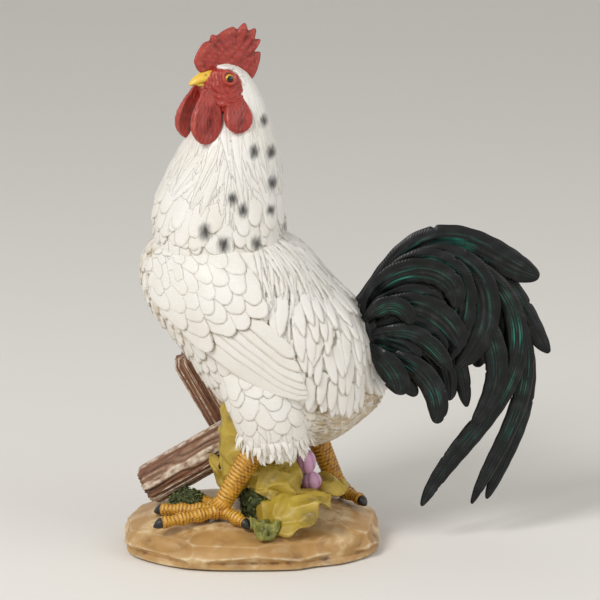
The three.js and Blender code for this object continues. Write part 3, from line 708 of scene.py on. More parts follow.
@dataclass
class Cape:
    """Neck with its hackles, whose rounded tips hang in a ragged edge over the breast."""

    scale: Cut = Cut(length=15, width=13, rise=2.0, taper=0.05, rim=1.0)
    grid: tuple[int, int] = (265, 460)
    edge: float = TRUNK_MIDDLE + 64.0
    fullness: float = 2.1
    # height above the cape's edge, middle, half length, half width
    rows: tuple = (
        (-24, -24, 41, 41), (-12, -24, 46, 44), (0, -23.5, 48.5, 45), (24, -22, 49, 41),
        (50, -18.5, 43, 35), (72, -14.5, 34, 28), (89, -11, 25.5, 21), (102, -9, 18.5, 16),
        (112, -9.5, 14, 12.5), (120, -11, 10, 10.5), (126, -12, 4, 4),
    )
    hem: float = TRUNK_MIDDLE + 63.0
    hem_front: float = 19.0
    hem_rear: float = 9.0
    hem_count: int = 22
    hem_rows: int = 2
    hackle: Cut = Cut(length=46, width=4.2, rise=0.32, taper=0.25, point=0.8, rim=1.2, stray=0.15)
    lock: Cut = Cut(length=46, width=5.5, rise=0.7, taper=0.2, point=0.9, rim=2.6, bend=0.8, stray=0.2)
    fringe: Cut = Cut(length=25, width=13.5, rise=3.0, taper=0.5, point=0.5, rim=2.0, stray=0.1, sweep=2.4)
    # Dark marks on the near side: forward place, height and width in mm
    marks: tuple = (
        (10.6, 330.9, 6.5), (18.5, 334.6, 6), (3.3, 310, 7.5), (15.7, 307.8, 7), (25, 308.5, 6),
        (16.4, 286, 7), (-12.3, 277, 7.5), (-5, 268.7, 7.5), (14.9, 266.5, 6), (-32.4, 253.6, 9),
        (-19.1, 244.5, 8.5), (3.8, 244, 7.5), (24.8, 250.6, 6), (9.2, 351, 5),
    )

    def skin(self, height: Array, turn: Array) -> Array:
        """Points of the bare neck.

        Args:
            height: Heights above the cape's edge, mm.
            turn: Angles round it in radians.

        Returns:
            One point for each height and turn.
        """
        table = np.asarray(self.rows, float)
        share = np.interp(height, table[:, 0], np.linspace(0, 1, len(table)))
        _, middle, long, wide = np.moveaxis(between(self.rows, share), -1, 0)
        x, y = oval(turn, long - 0.8, wide - 0.8, self.fullness)
        return grid_of(middle + x, y, self.edge + height)

    def hem_at(self, turn: Array) -> Array:
        """Height of the lower edge at a turn round the neck."""
        front, rear = np.clip(-np.cos(turn), 0, 1) ** 1.5, np.clip(np.cos(turn), 0, 1) ** 1.5
        return self.hem + self.hem_front * front + self.hem_rear * rear

    def build(self) -> list[Piece]:
        """Carves the cape and its marks.

        Returns:
            The dressed pieces.
        """
        turn = full_turn(self.grid[1])
        height = np.linspace(126, -20, self.grid[0])
        rows, columns = np.meshgrid(height, turn, indexing="ij")
        points = self.skin(rows, columns)
        normals = grid_normals(points, True)
        flat, facing = points.reshape(-1, 3), normals.reshape(-1, 3)
        above = (points[..., 2] - self.hem_at(columns)).ravel()

        sweep = -0.9 * smooth(-flat[:, 0], 5, 45) * smooth(-flat[:, 2], -335, -285)
        run = grid_of(sweep, 0.0, -1.0)
        run += 0.14 * mottle(flat, 30, seed=3)[:, None] * np.array([1.0, 0, 0])
        breast = above < 4
        run[breast] = (0.5, 0.0, -1.0)
        flow = settle(run, facing)
        chance = np.random.default_rng(22)
        plumes = []
        for cut, where, long, wide in (
            (self.scale, above < 8, 8.0, 8.0),
            (self.hackle, above > 24, 11.0, 3.8),
            (self.lock, (above > 30) & (above < 84) & (flat[:, 0] < -2), 17.0, 6.5),
        ):
            for index in scatter(flat, flow, where, long, wide, seed=21):
                start = flat[index] - 0.3 * cut.length * flow[index]
                plumes.append(Plume(cut, start, flow[index], facing[index], chance.uniform(0.85, 1.15)))
        plumes += self.hem_feathers(points, flow.reshape(points.shape), normals, chance)
        relief = carve(points, normals, plumes, seed=5)
        outer = points + normals * relief.height[..., None]
        sink = 0.16 * smooth(self.edge - 8 - points[..., 2], 0, 11)
        middle = np.array([-24.0, 0.0, 0.0])
        outer -= sink[..., None] * (outer - middle) * np.array([1.0, 1.0, 0.0])
        fields = plumage_fields(relief, True)
        fields["crease"] *= lerp(1.0, 0.16, smooth(above.reshape(points.shape[:2]), 4, 17))
        fields["spot"] = self.spots(points)
        return [dress(loft_piece("neck_cape", outer, fields), Paint.PLUMAGE, "neck_hackle")]

    def hem_feathers(
        self, points: Array, flow: Array, normals: Array, chance: np.random.Generator
    ) -> list[Plume]:
        """Rows of broad rounded feathers along the lower edge, each row over the next.

        Args:
            points: Grid of points of the neck.
            flow: Direction of the feathers at each point.
            normals: Normal at each point.
            chance: Source of the small differences.

        Returns:
            The feathers, the lowest row first.
        """
        plumes = []
        count = points.shape[1]
        for row in range(self.hem_rows):
            for k in range(self.hem_count):
                step = k + 0.5 * (row % 2) + chance.uniform(-0.15, 0.15)
                column = int(step * count / self.hem_count) % count
                turn = 2 * math.pi * column / count
                root = self.hem_at(turn) + 19 + 10 * row + chance.uniform(-4, 3)
                level = int(np.argmin(np.abs(points[:, column, 2] - root)))
                at = (level, column)
                scale = chance.uniform(0.85, 1.22) * (1 - 0.06 * row)
                run = unit(flow[at] + np.array([0.35 * (points[at][0] < -30), 0, 0]))
                cut = replace(self.fringe, rise=self.fringe.rise * (1 - 0.3 * row))
                plumes.append(Plume(cut, points[at], run, normals[at], scale))
        return plumes

    def spots(self, points: Array) -> Array:
        """Strength of the dark marks, the same on both sides of the neck but for a small shift.

        Args:
            points: Points of the neck.

        Returns:
            Strength from 0 to 1 for each point.
        """
        strength = np.zeros(points.shape[:-1])
        streak = 0.1 * mottle(points * np.array([1.0, 1.0, 0.3]), 2.4, seed=7)
        for side in Side:
            shift = 0.0 if side is Side.LEFT else 6.0
            facing = smooth(side.value * points[..., 1], 0, 12)
            for x, z, width in self.marks:
                long, tall = 0.62 * width, 0.85 * width
                far = np.hypot((points[..., 0] - x - shift) / long, (points[..., 2] - z) / tall)
                strength = np.maximum(strength, 0.95 * facing * (1.0 - smooth(far + streak, 0.1, 1.25)))
        return strength


@dataclass
class Wing:
    """Wing in three tiers: rows of round coverts, large coverts and long flight feathers."""

    trunk: Trunk
    side: Side
    shoulder: tuple[float, float] = (-52.0, TRUNK_MIDDLE + 43.0)
    tip: tuple[float, float] = (41.0, TRUNK_MIDDLE - 44.0)
    grid: tuple[int, int] = (300, 150)
    lower: float = 25.5
    upper: float = 31.0
    covert: Cut = Cut(length=30, width=21, rise=2.6, taper=0.1, rim=1.1, stray=0.1)
    covert_rows: int = 9
    # share and side of the root, share and side of the tip, width
    flights: tuple = (
        (0.08, -0.84, 1.03, -0.22, 17), (0.3, -0.5, 1.01, 0.06, 12), (0.32, -0.24, 0.98, 0.26, 11),
        (0.34, 0.0, 0.94, 0.46, 10.5), (0.36, 0.22, 0.88, 0.66, 10.5), (0.38, 0.44, 0.8, 0.84, 10.5),
    )

    def place(self, share: Array, across: Array) -> Array:
        """Points of the trunk under the wing.

        Args:
            share: Shares of the wing's length, from the shoulder.
            across: Shares of its half width, up is positive.

        Returns:
            One point for each pair.
        """
        start, end = np.array(self.shoulder), np.array(self.tip)
        run = end - start
        length = np.linalg.norm(run)
        run = run / length
        up = np.array([-run[1], run[0]])
        half = np.where(across < 0, self.lower, self.upper) * (1 - 0.8 * np.clip(share, 0, 0.97) ** 2.6)
        flat = start + (share * length)[..., None] * run + (across * half)[..., None] * up
        return self.trunk.flank(flat[..., 0], flat[..., 1], self.side)

    def build(self) -> list[Piece]:
        """Carves the wing.

        Returns:
            The dressed pieces.
        """
        shares, sides = np.linspace(-0.2, 1.08, self.grid[0]), np.linspace(-1.3, 1.25, self.grid[1])
        share, across = np.meshgrid(shares, sides, indexing="ij")
        points = self.place(share, across)
        normals = grid_normals(points, False)
        normals *= np.sign(self.side.value * normals[..., 1].mean())
        plumes = self.flight_feathers() + self.coverts()
        relief = carve(points, normals, plumes, ground=-SKIN_DEPTH, seed=31)
        outer = points + normals * relief.height[..., None]
        fields = plumage_fields(relief, False)
        fields["crease"] *= 1.25 + 0.7 * smooth(share, 0.25, 0.5)
        keep = (relief.height > -0.5) & (np.abs(points[..., 1]) > 20)
        name = f"wing_{self.side.name.lower()}"
        piece = shell_piece(name + "_skin", outer, points - SKIN_DEPTH * normals, keep, fields)
        return [dress(piece, Paint.PLUMAGE, name)]

    def plume(self, cut: Cut, root: tuple[float, float], end: tuple[float, float], lift: float) -> Plume:
        """Feather from one place on the wing towards another.

        Args:
            cut: How it is carved; with no length of its own, it reaches the end.
            root: Share of the wing and place across it of the root.
            end: The same for the place it runs towards.
            lift: Height of its root over the ground.

        Returns:
            The feather.
        """
        spots = np.array([root, end, (root[0], root[1] + 0.1)])
        start, finish, beside = self.place(spots[:, 0], spots[:, 1])
        run = unit(finish - start)
        normal = unit(np.cross(beside - start, run))
        normal *= np.sign(normal[1] * self.side.value)
        sized = replace(cut, length=cut.length or float(np.linalg.norm(finish - start)))
        return Plume(sized, start, run, normal, lift=lift, side=self.side.value)

    def flight_feathers(self) -> list[Plume]:
        """Long feathers of the wing's end, the upper ones over the lower ones.

        Returns:
            The feathers, the lowest first.
        """
        plumes = []
        for rank, (start, beside, end, aside, width) in enumerate(self.flights):
            cut = Cut(0.0, width, 2.6, taper=0.75, point=0.6, rim=1.8, tilt=-0.35, stray=0.0)
            plumes.append(self.plume(cut, (start, beside), (end, aside), 3.4 + 0.35 * rank))
        return plumes

    def coverts(self) -> list[Plume]:
        """Rows of round coverts from the flight feathers to the shoulder, smaller row by row.

        Returns:
            The feathers.
        """
        chance = np.random.default_rng(33)
        plumes = []
        share = 0.25
        for row in range(self.covert_rows):
            size = lerp(1.0, 0.5, row / (self.covert_rows - 1))
            cut = self.covert
            cut = replace(cut, length=cut.length * size, width=cut.width * size, rise=cut.rise * size**0.5)
            count = round(4 / size)
            for k in range(count):
                across = -1.0 + (2 * k + 1 + 0.9 * (row % 2)) / count + chance.uniform(-0.05, 0.05)
                root = share + 0.05 * across + chance.uniform(-0.012, 0.012)
                lift = 5.4 * (1 - 0.75 * smooth(row / self.covert_rows, 0.2, 1.0))
                plumes.append(self.plume(cut, (root, across), (root + 0.3, across - 0.06), lift))
            share -= 0.07 * size
        return plumes


@dataclass
class Saddle:
    """Back and flanks under long lance feathers that hang to a ragged hem."""

    trunk: Trunk
    grid: tuple[int, int] = (230, 430)
    lance: Cut = Cut(length=28, width=8.5, rise=2.8, taper=0.4, point=0.65, rim=1.2, stray=0.16)
    strand: Cut = Cut(length=34, width=3.8, rise=1.0, taper=0.2, point=0.9, rim=0.9, stray=0.1)
    # Height and forward place along the front edge, as seen from the side
    front: tuple = ((140, 38), (150, 30), (184, 16), (225, 1), (264, -4))
    # Forward place and height along the hem
    hem: tuple = ((26, 152), (42, 124), (60, 118), (78, 114), (90, 128), (100, 150))

    def build(self) -> list[Piece]:
        """Carves the saddle.

        Returns:
            The dressed pieces.
        """
        share = even_shares(lambda s: self.trunk.skin(0.28 + 0.7 * s, np.full_like(s, 0.5)), self.grid[0])
        turn = np.radians(np.linspace(-50, 230, self.grid[1]))
        rows, columns = np.meshgrid(0.28 + 0.7 * share, turn, indexing="ij")
        points = self.trunk.skin(rows, columns)
        normals = grid_normals(points, False)
        normals *= np.sign(normals[:, self.grid[1] // 2, 2].mean())
        flat, facing = points.reshape(-1, 3), normals.reshape(-1, 3)
        x, z = flat[:, 0], flat[:, 2]
        hem = np.interp(x, *np.array(self.hem).T)
        front = np.interp(z, *np.array(self.front).T)

        lean = 0.05 + 0.2 * mottle(flat, 34, seed=8)
        flow = settle(grid_of(lean, 0.0, -1.0), facing)
        inside = (x > front + 3) & (z > hem + 24) & (rows.ravel() > 0.3)
        chance = np.random.default_rng(9)
        plumes = []
        for cut, long, wide, where in (
            (self.lance, 12.0, 6.2, z < 208),
            (self.strand, 9.0, 2.9, z > 190),
        ):
            for index in scatter(flat, flow, inside & where, long, wide, seed=41):
                scale = chance.uniform(0.85, 1.1)
                lift = 3.0 + chance.uniform(0, 0.8)
                plumes.append(Plume(cut, flat[index], flow[index], facing[index], scale, lift))
        for rim in self.hem_roots(points, hem):
            scale = chance.uniform(0.75, 0.95)
            plumes.append(Plume(self.lance, flat[rim], flow[rim], facing[rim], scale, lift=2.2))
        relief = carve(points, normals, plumes, ground=-SKIN_DEPTH, seed=42)
        top = (normals[..., 2] > 0.45) & (rows > 0.3)
        relief.height = np.where(top, np.maximum(relief.height, 3.0), relief.height)
        outer = points + normals * relief.height[..., None]
        fields = plumage_fields(relief, False)
        inner = points - SKIN_DEPTH * normals
        piece = shell_piece("saddle_skin", outer, inner, relief.height > -0.5, fields)
        return [dress(piece, Paint.PLUMAGE, "saddle")]

    def hem_roots(self, points: Array, hem: Array) -> list[int]:
        """Places of the last row of feathers, evenly along the hem on both flanks.

        Args:
            points: Grid of points of the saddle.
            hem: Height of the hem under each point.

        Returns:
            Numbers of the points, counted through the grid.
        """
        flat = points.reshape(-1, 3)
        roots = []
        for side in Side:
            for x in np.arange(24.0, 96.0, 5.2):
                other_side = flat[:, 1] * side.value < 5
                near = np.abs(flat[:, 0] - x) + np.abs(flat[:, 2] - hem - 20) + 99 * other_side
                roots.append(int(np.argmin(near)))
        return roots


@dataclass
class Thigh:
    """Thigh with broad soft scales, and pointed feather tips round the shank."""

    side: Side
    grid: tuple[int, int] = (170, 300)
    fringe: Cut = Cut(length=15, width=5.5, rise=1.3, taper=0.3, point=0.75, rim=1.0)
    scale: Cut = Cut(length=20, width=20, rise=1.5, taper=0.0, rim=1.0, stray=0.16)
    # forward, out to the side, height, half length, half width
    rows: tuple = (
        (8, 31, -20, 16, 12), (8, 34, -30, 33, 22), (10.5, 35, -46, 32.5, 25), (13.5, 35, -62, 30, 25),
        (15.5, 35, -76, 26.5, 23.5), (17, 35, -88, 22, 19.5), (18, 35, -96, 15.5, 13.5), (18, 35, -100, 6, 5),
    )
    right_shift: Place = (26.0, -3.0, 7.0)
    # Rings of free tips: share of the thigh's height, count, length
    tip_rings: tuple = ((0.72, 34, 14.0), (0.78, 34, 13.0), (0.84, 34, 11.0), (0.9, 26, 9.0), (0.95, 14, 7.0))
    tip_thick: float = 2.0

    def skin(self, share: Array, turn: Array) -> Array:
        """Points of the bare thigh.

        Args:
            share: Shares of its height, from the top.
            turn: Angles round it in radians.

        Returns:
            One point for each pair.
        """
        x, y, z, long, wide = np.moveaxis(between(self.rows, share), -1, 0)
        shift = (0.0, 0.0, 0.0) if self.side is Side.LEFT else self.right_shift
        a, b = oval(turn, long, wide, 2.0)
        return grid_of(x + shift[0] + a, self.side.value * (y + shift[1]) + b, z + shift[2] + TRUNK_MIDDLE)

    def build(self) -> list[Piece]:
        """Carves the thigh and adds the free tips at its foot.

        Returns:
            The dressed pieces.
        """
        share = even_shares(lambda s: self.skin(s, np.full_like(s, math.pi)), self.grid[0])
        turn = full_turn(self.grid[1])
        points = self.skin(*np.meshgrid(share, turn, indexing="ij"))
        normals = grid_normals(points, True)
        flat, facing = points.reshape(-1, 3), normals.reshape(-1, 3)
        flow = settle(np.array([0.12, 0.0, -1.0]), facing)
        low = flat[:, 2].min()
        plumes = []
        for cut, where, long, wide, lift in (
            (self.scale, flat[:, 2] > low + 24, 10.0, 12.0, 0.0),
            (self.fringe, (flat[:, 2] > low + 12) & (flat[:, 2] < low + 30), 8.0, 4.0, 0.5),
        ):
            for index in scatter(flat, flow, where, long, wide, seed=51):
                plumes.append(Plume(cut, flat[index], flow[index], facing[index], lift=lift))
        relief = carve(points, normals, plumes, seed=52)
        shape = points + normals * relief.height[..., None]
        name = f"thigh_{self.side.name.lower()}"
        piece = cast(name, shape, plumage_fields(relief, True), Paint.PLUMAGE, "skin")
        return [piece] + self.tips(points)

    def tips(self, points: Array) -> list[Piece]:
        """Free feather tips that hang round the shank.

        Args:
            points: Grid of points of the bare thigh.

        Returns:
            The tips, as one piece.
        """
        pieces = []
        chance = np.random.default_rng(53)
        for share, count, length in self.tip_rings:
            row = int(share * (len(points) - 1))
            middle = points[row].mean(axis=0)
            for k in range(count):
                rim = points[row, int((k + 0.5 * (share > 0.85)) * points.shape[1] / count)]
                out = unit(rim - middle)
                lean = np.array([chance.uniform(-0.25, 0.55) + 0.3 * out[0], chance.uniform(-0.2, 0.2), -1.0])
                long, sway = length * chance.uniform(0.75, 1.2), chance.uniform(-1.8, 1.8)
                wide = chance.uniform(3.6, 5.2)
                grid = feather_body(rim - 0.9 * out, unit(lean), out, long, wide, self.tip_thick, sway)
                fields = {
                    **dict.fromkeys(("crease", "tone", "spot"), 0.0),
                    "feather": chance.random(),
                    "across": np.cos(full_turn(grid.shape[1])),
                    "along": np.linspace(0, 1, len(grid))[:, None],
                }
                pieces.append(loft_piece(f"tip_{k}", grid, fields))
        whole = join(pieces, f"thigh_{self.side.name.lower()}_tips")
        return [dress(whole, Paint.PLUMAGE)]


def feather_body(
    root: Array, run: Array, out: Array, length: float, width: float, thick: float, sway: float
) -> Array:
    """Rings of a small free feather: a pointed lens that curls in a little at its tip.

    Args:
        root: Where it starts.
        run: Its direction.
        out: Direction of its face.
        length: Length in mm.
        width: Full width.
        thick: Full thickness.
        sway: How far it bows sideways.

    Returns:
        Rings of points for a closed loft.
    """
    share = np.linspace(0.0, 1.0, 16)
    turn = full_turn(14)
    across = unit(np.cross(out, run))
    middle = root + (share * length)[:, None] * run - (1.6 * share**3)[:, None] * out
    middle = middle + (sway * np.sin(math.pi * share**1.3))[:, None] * across
    half = 0.5 * width * np.sqrt(np.clip(0.25 + 2.2 * share, 0, 1)) * (1 - share**2.2) ** 0.85 + 0.15
    deep = 0.5 * thick * (1 - share**2) ** 0.5 + 0.12
    sideways = (half[:, None] * np.cos(turn))[..., None] * across
    return middle[:, None] + sideways + (deep[:, None] * np.sin(turn))[..., None] * out


# Tail


@dataclass
class Tail:
    """Tail of curved feathers rooted on one boss, each with a quill and slanting barbs."""

    place: Place = (86.0, 0.0, TRUNK_MIDDLE - 24.0)
    boss_middle: Place = (4.0, 0.0, 7.0)
    boss_size: Place = (13.0, 19.0, 28.0)
    thick: float = 5.2
    bank: float = 0.7
    plump: float = 1.15
    step: float = 0.6
    # root forward, root up, layer, launch, turn, length, width, earliness, flick
    feathers: dict = field(default_factory=lambda: {
        "sickle_top": (-2, 33, 0, 52, -69, 157, 27, 1.6, 18),
        "sickle_long": (-1, 30, -2, 72, -187, 319, 17, 2.5, 17),
        "sickle_second": (0, 25, 5, 65, -178, 297, 14, 2, 8),
        "sickle_third": (-1, 18, 12, 56, -166, 279, 16, 1.8, 8),
        "sickle_rear": (-2, 30, 7, 58, -110, 192, 20, 1.8, 14),
        "sickle_rear_under": (-1, 24, 14, 54, -115, 176, 15, 1.3, 8),
        "left_curl": (0, 24, -28, 58, -175, 46, 18, 0.5, 10),
        "left_upper_drape": (1, 29, -21, 92, -210, 102, 22, 0.72, -7),
        "left_middle_arch": (1, 8, -24, 47, -101, 77, 16, 1.65, 3),
        "left_lower_block": (-1, 2, -28, 15, -115, 46, 22, 1.3, -14),
        "left_lower_drape": (5, 0, -21, -2, -112, 84, 19, 0.7, 1),
        "left_lower_tuft": (5, -8, -14, 24, -96, 45, 14, 1.9, -25),
        "left_centre_drape": (-1, 30, -14, 56, -158, 155, 24, 1.15, 28),
        "left_green_drape": (-1, 30, -9, 55, -190, 178, 26, 0.85, 19),
        "left_inner_arch": (0, 20, -15, 61, -112, 68, 21, 0.6, -3),
        "left_inner_hang": (1, 13, -2, 56, -136, 128, 14, 2, 3),
        "left_bright_sickle": (0, 17, -6, 65, -197, 191, 18.5, 1.15, -3),
        "right_upper_drape": (1, 26, 22, 77, -198, 112, 22, 0.72, -1),
        "right_centre_drape": (0, 18, 15, 52, -142, 160, 26, 1.1, 22),
        "right_middle_arch": (1, 15, 26, 50, -104, 86, 24, 1.6, 3),
        "right_lower_block": (-1, 2, 29, 16, -112, 50, 22, 1.3, -14),
        "right_lower_drape": (5, 0, 20, 0, -114, 90, 19, 0.75, 1),
    })

    # Short feathers cast on the boss itself, behind the others, in the same measures
    stubs: tuple = (
        (2, 12, -17, 40, -95, 66, 24, 1.2, 0), (0, 8, -20, 14, -60, 44, 24, 1.2, 0),
        (0, 22, -19, 52, -120, 90, 26, 1.2, 0), (1, 22, 4, 58, -150, 150, 26, 1.1, 10),
        (2, 6, 8, 34, -90, 62, 24, 1.2, 0), (1, 18, -8, 60, -120, 96, 26, 1, 0),
        (0, 24, 9, 77.6, -173, 188, 26, 1.25, 9.4), (1, 12, -4, 35, -126, 101, 18, 1.4, -3),
        (2, 4, -19, 27, -79, 42, 20, 0.7, -9), (1, 18, -17, 79, -192, 80, 20, 0.65, -2.5),
    )

    def build(self) -> list[Piece]:
        """Makes the boss and all feathers.

        Returns:
            The dressed pieces.
        """
        root = [loft_piece("tail_root", ball(np.add(self.place, self.boss_middle), self.boss_size, 50, 90))]
        for number, row in enumerate(self.stubs):
            root.append(loft_piece("stub", *self.feather(row, 60 + number)))
        pieces = [dress(join(root, "tail_root"), Paint.TAIL, "tail_boss")]
        for number, (name, row) in enumerate(self.feathers.items()):
            pieces.append(cast(f"tail_{name}", *self.feather(row, number), Paint.TAIL))
        return pieces

    def centreline(self, row: tuple[float, ...], share: Array) -> tuple[Array, Array]:
        """Middle line of a feather.

        Args:
            row: Measures of the feather.
            share: Shares of its length.

        Returns:
            A point and a slope in degrees for each share.
        """
        forward, up, layer, launch, curl, length, _, early, flick = row
        stations = 8 * (round(length / 27) + 2)
        coarse = np.linspace(0, 1, stations + 1)

        def slope(t: Array) -> Array:
            """Slope in degrees at shares of the length."""
            return launch + curl * (1 - (1 - t) ** early) + flick * np.sin(2 * math.pi * t)

        turn = np.radians(slope(coarse))
        step = length / stations
        x = forward + step * np.concatenate([[0], np.cumsum(np.cos(turn[1:]))])
        z = up + step * np.concatenate([[0], np.cumsum(np.sin(turn[1:]))])
        y = layer * lerp(0.6, 1.0, smooth(coarse, 0, 0.3))
        return between(grid_of(x, y, z), share) + np.array(self.place), slope(share)

    def feather(self, row: tuple[float, ...], number: int) -> tuple[Array, Fields]:
        """Shapes one feather.

        Args:
            row: Measures of the feather.
            number: Number that picks its wear and lines.

        Returns:
            Rings of points for a closed loft, and the values that the paint reads.
        """
        layer, length, width = row[2], row[5], row[6]
        chance = np.random.default_rng(100 + number)
        straight = np.linspace(0, 0.93, int(0.93 * length / self.step))
        rounded = 0.93 + 0.07 * np.sin(np.linspace(0, 0.5 * math.pi, 30))[1:]
        share = np.concatenate([straight, rounded])
        middle, slope = self.centreline(row, share)
        radians = np.radians(slope)
        upright = grid_of(-np.sin(radians), 0.0, np.cos(radians))
        level = np.cross(grid_of(np.cos(radians), 0.0, np.sin(radians)), upright)
        lean = math.radians(-self.bank * layer)
        across = math.cos(lean) * upright + math.sin(lean) * level
        face = math.cos(lean) * level - math.sin(lean) * upright

        tip = np.sqrt(1 - (0.9995 * share) ** 8)
        half = 0.5 * width * lerp(0.5, 1.0, smooth(share, 0, 0.5)) * tip
        deep = 0.5 * self.plump * self.thick * lerp(1.0, 0.8, share) * np.sqrt(tip)
        turn = full_turn(64)
        u = signed_power(np.cos(turn), 0.85)[None, :]
        edge = np.abs(u)
        distance = (share * length)[:, None]
        slanted = distance - 0.8 * edge * half[:, None]
        lobes = np.sin(slanted / 6.0 + 2.1 * number) * np.sin(slanted / 3.7 + number)
        worn = 1.0 + 0.03 * lobes * edge**3
        for _ in range(1 + int(length / 60)):
            at = chance.uniform(0.45, 0.97) * length
            one_side = np.clip(u * chance.choice([-1, 1]), 0, 1)
            worn -= chance.uniform(0.06, 0.14) * bell(distance - at, 1.2) * one_side**4
        body = (1.0 - edge**3.2) ** 0.6
        quill = 0.2 * bell(edge, 0.04) - 0.42 * bell(edge - 0.09, 0.08)
        channel = -0.14 * bell(edge - 0.6, 0.1) * np.sin(slanted / 8.0 + number) ** 2
        relief = body + (quill + channel + 0.06 * lobes) * (1 - edge**4)
        points = (
            middle[:, None]
            + (half[:, None] * u * worn)[..., None] * across[:, None]
            + (deep[:, None] * relief * signed_power(np.sin(turn), 0.45)[None, :])[..., None] * face[:, None]
        )
        lines = np.sin(half[:, None] * edge * 3.6 + 1.2 * np.sin(distance / 11.0 + number))
        streak = smooth(lines, -0.1, 0.9) * (0.6 + 0.4 * np.sin(distance / 7.0 + 3 * number))
        fields = {
            "crease": np.clip(0.9 * bell(edge - 0.12, 0.07) + 0.5 * smooth(edge, 0.75, 1.0), 0, 1),
            # ridge: grey dry brush along the quill and over the lobes, plus a painted highlight on the upper
            # half of each vane
            "ridge": np.clip(0.6 * bell(edge, 0.05) + 0.3 * lobes + 0.6 * bell(u - 0.4, 0.25) * streak, 0, 1),
            "tone": 1.3 * bell(edge - 0.22, 0.22) * bell(share[:, None] - 0.55, 0.24) * streak,
            "along": distance,
            "across": half[:, None] * u,
            "feather": chance.random(),
        }
        return points, fields


def ball(middle: Sequence[float], size: Sequence[float], rows: int, columns: int) -> Array:
    """Rings of an oval ball, from its top to its underside.

    Args:
        middle: Its middle.
        size: Half its length, width and height.
        rows: Number of rings.
        columns: Points on each ring.

    Returns:
        Rings of points for a closed loft.
    """
    slope = np.linspace(0.02, math.pi - 0.02, rows)[:, None]
    turn = full_turn(columns)
    shape = grid_of(np.sin(slope) * np.cos(turn), np.sin(slope) * np.sin(turn), np.cos(slope))
    return np.array(middle) + shape * np.array(size)


# Head


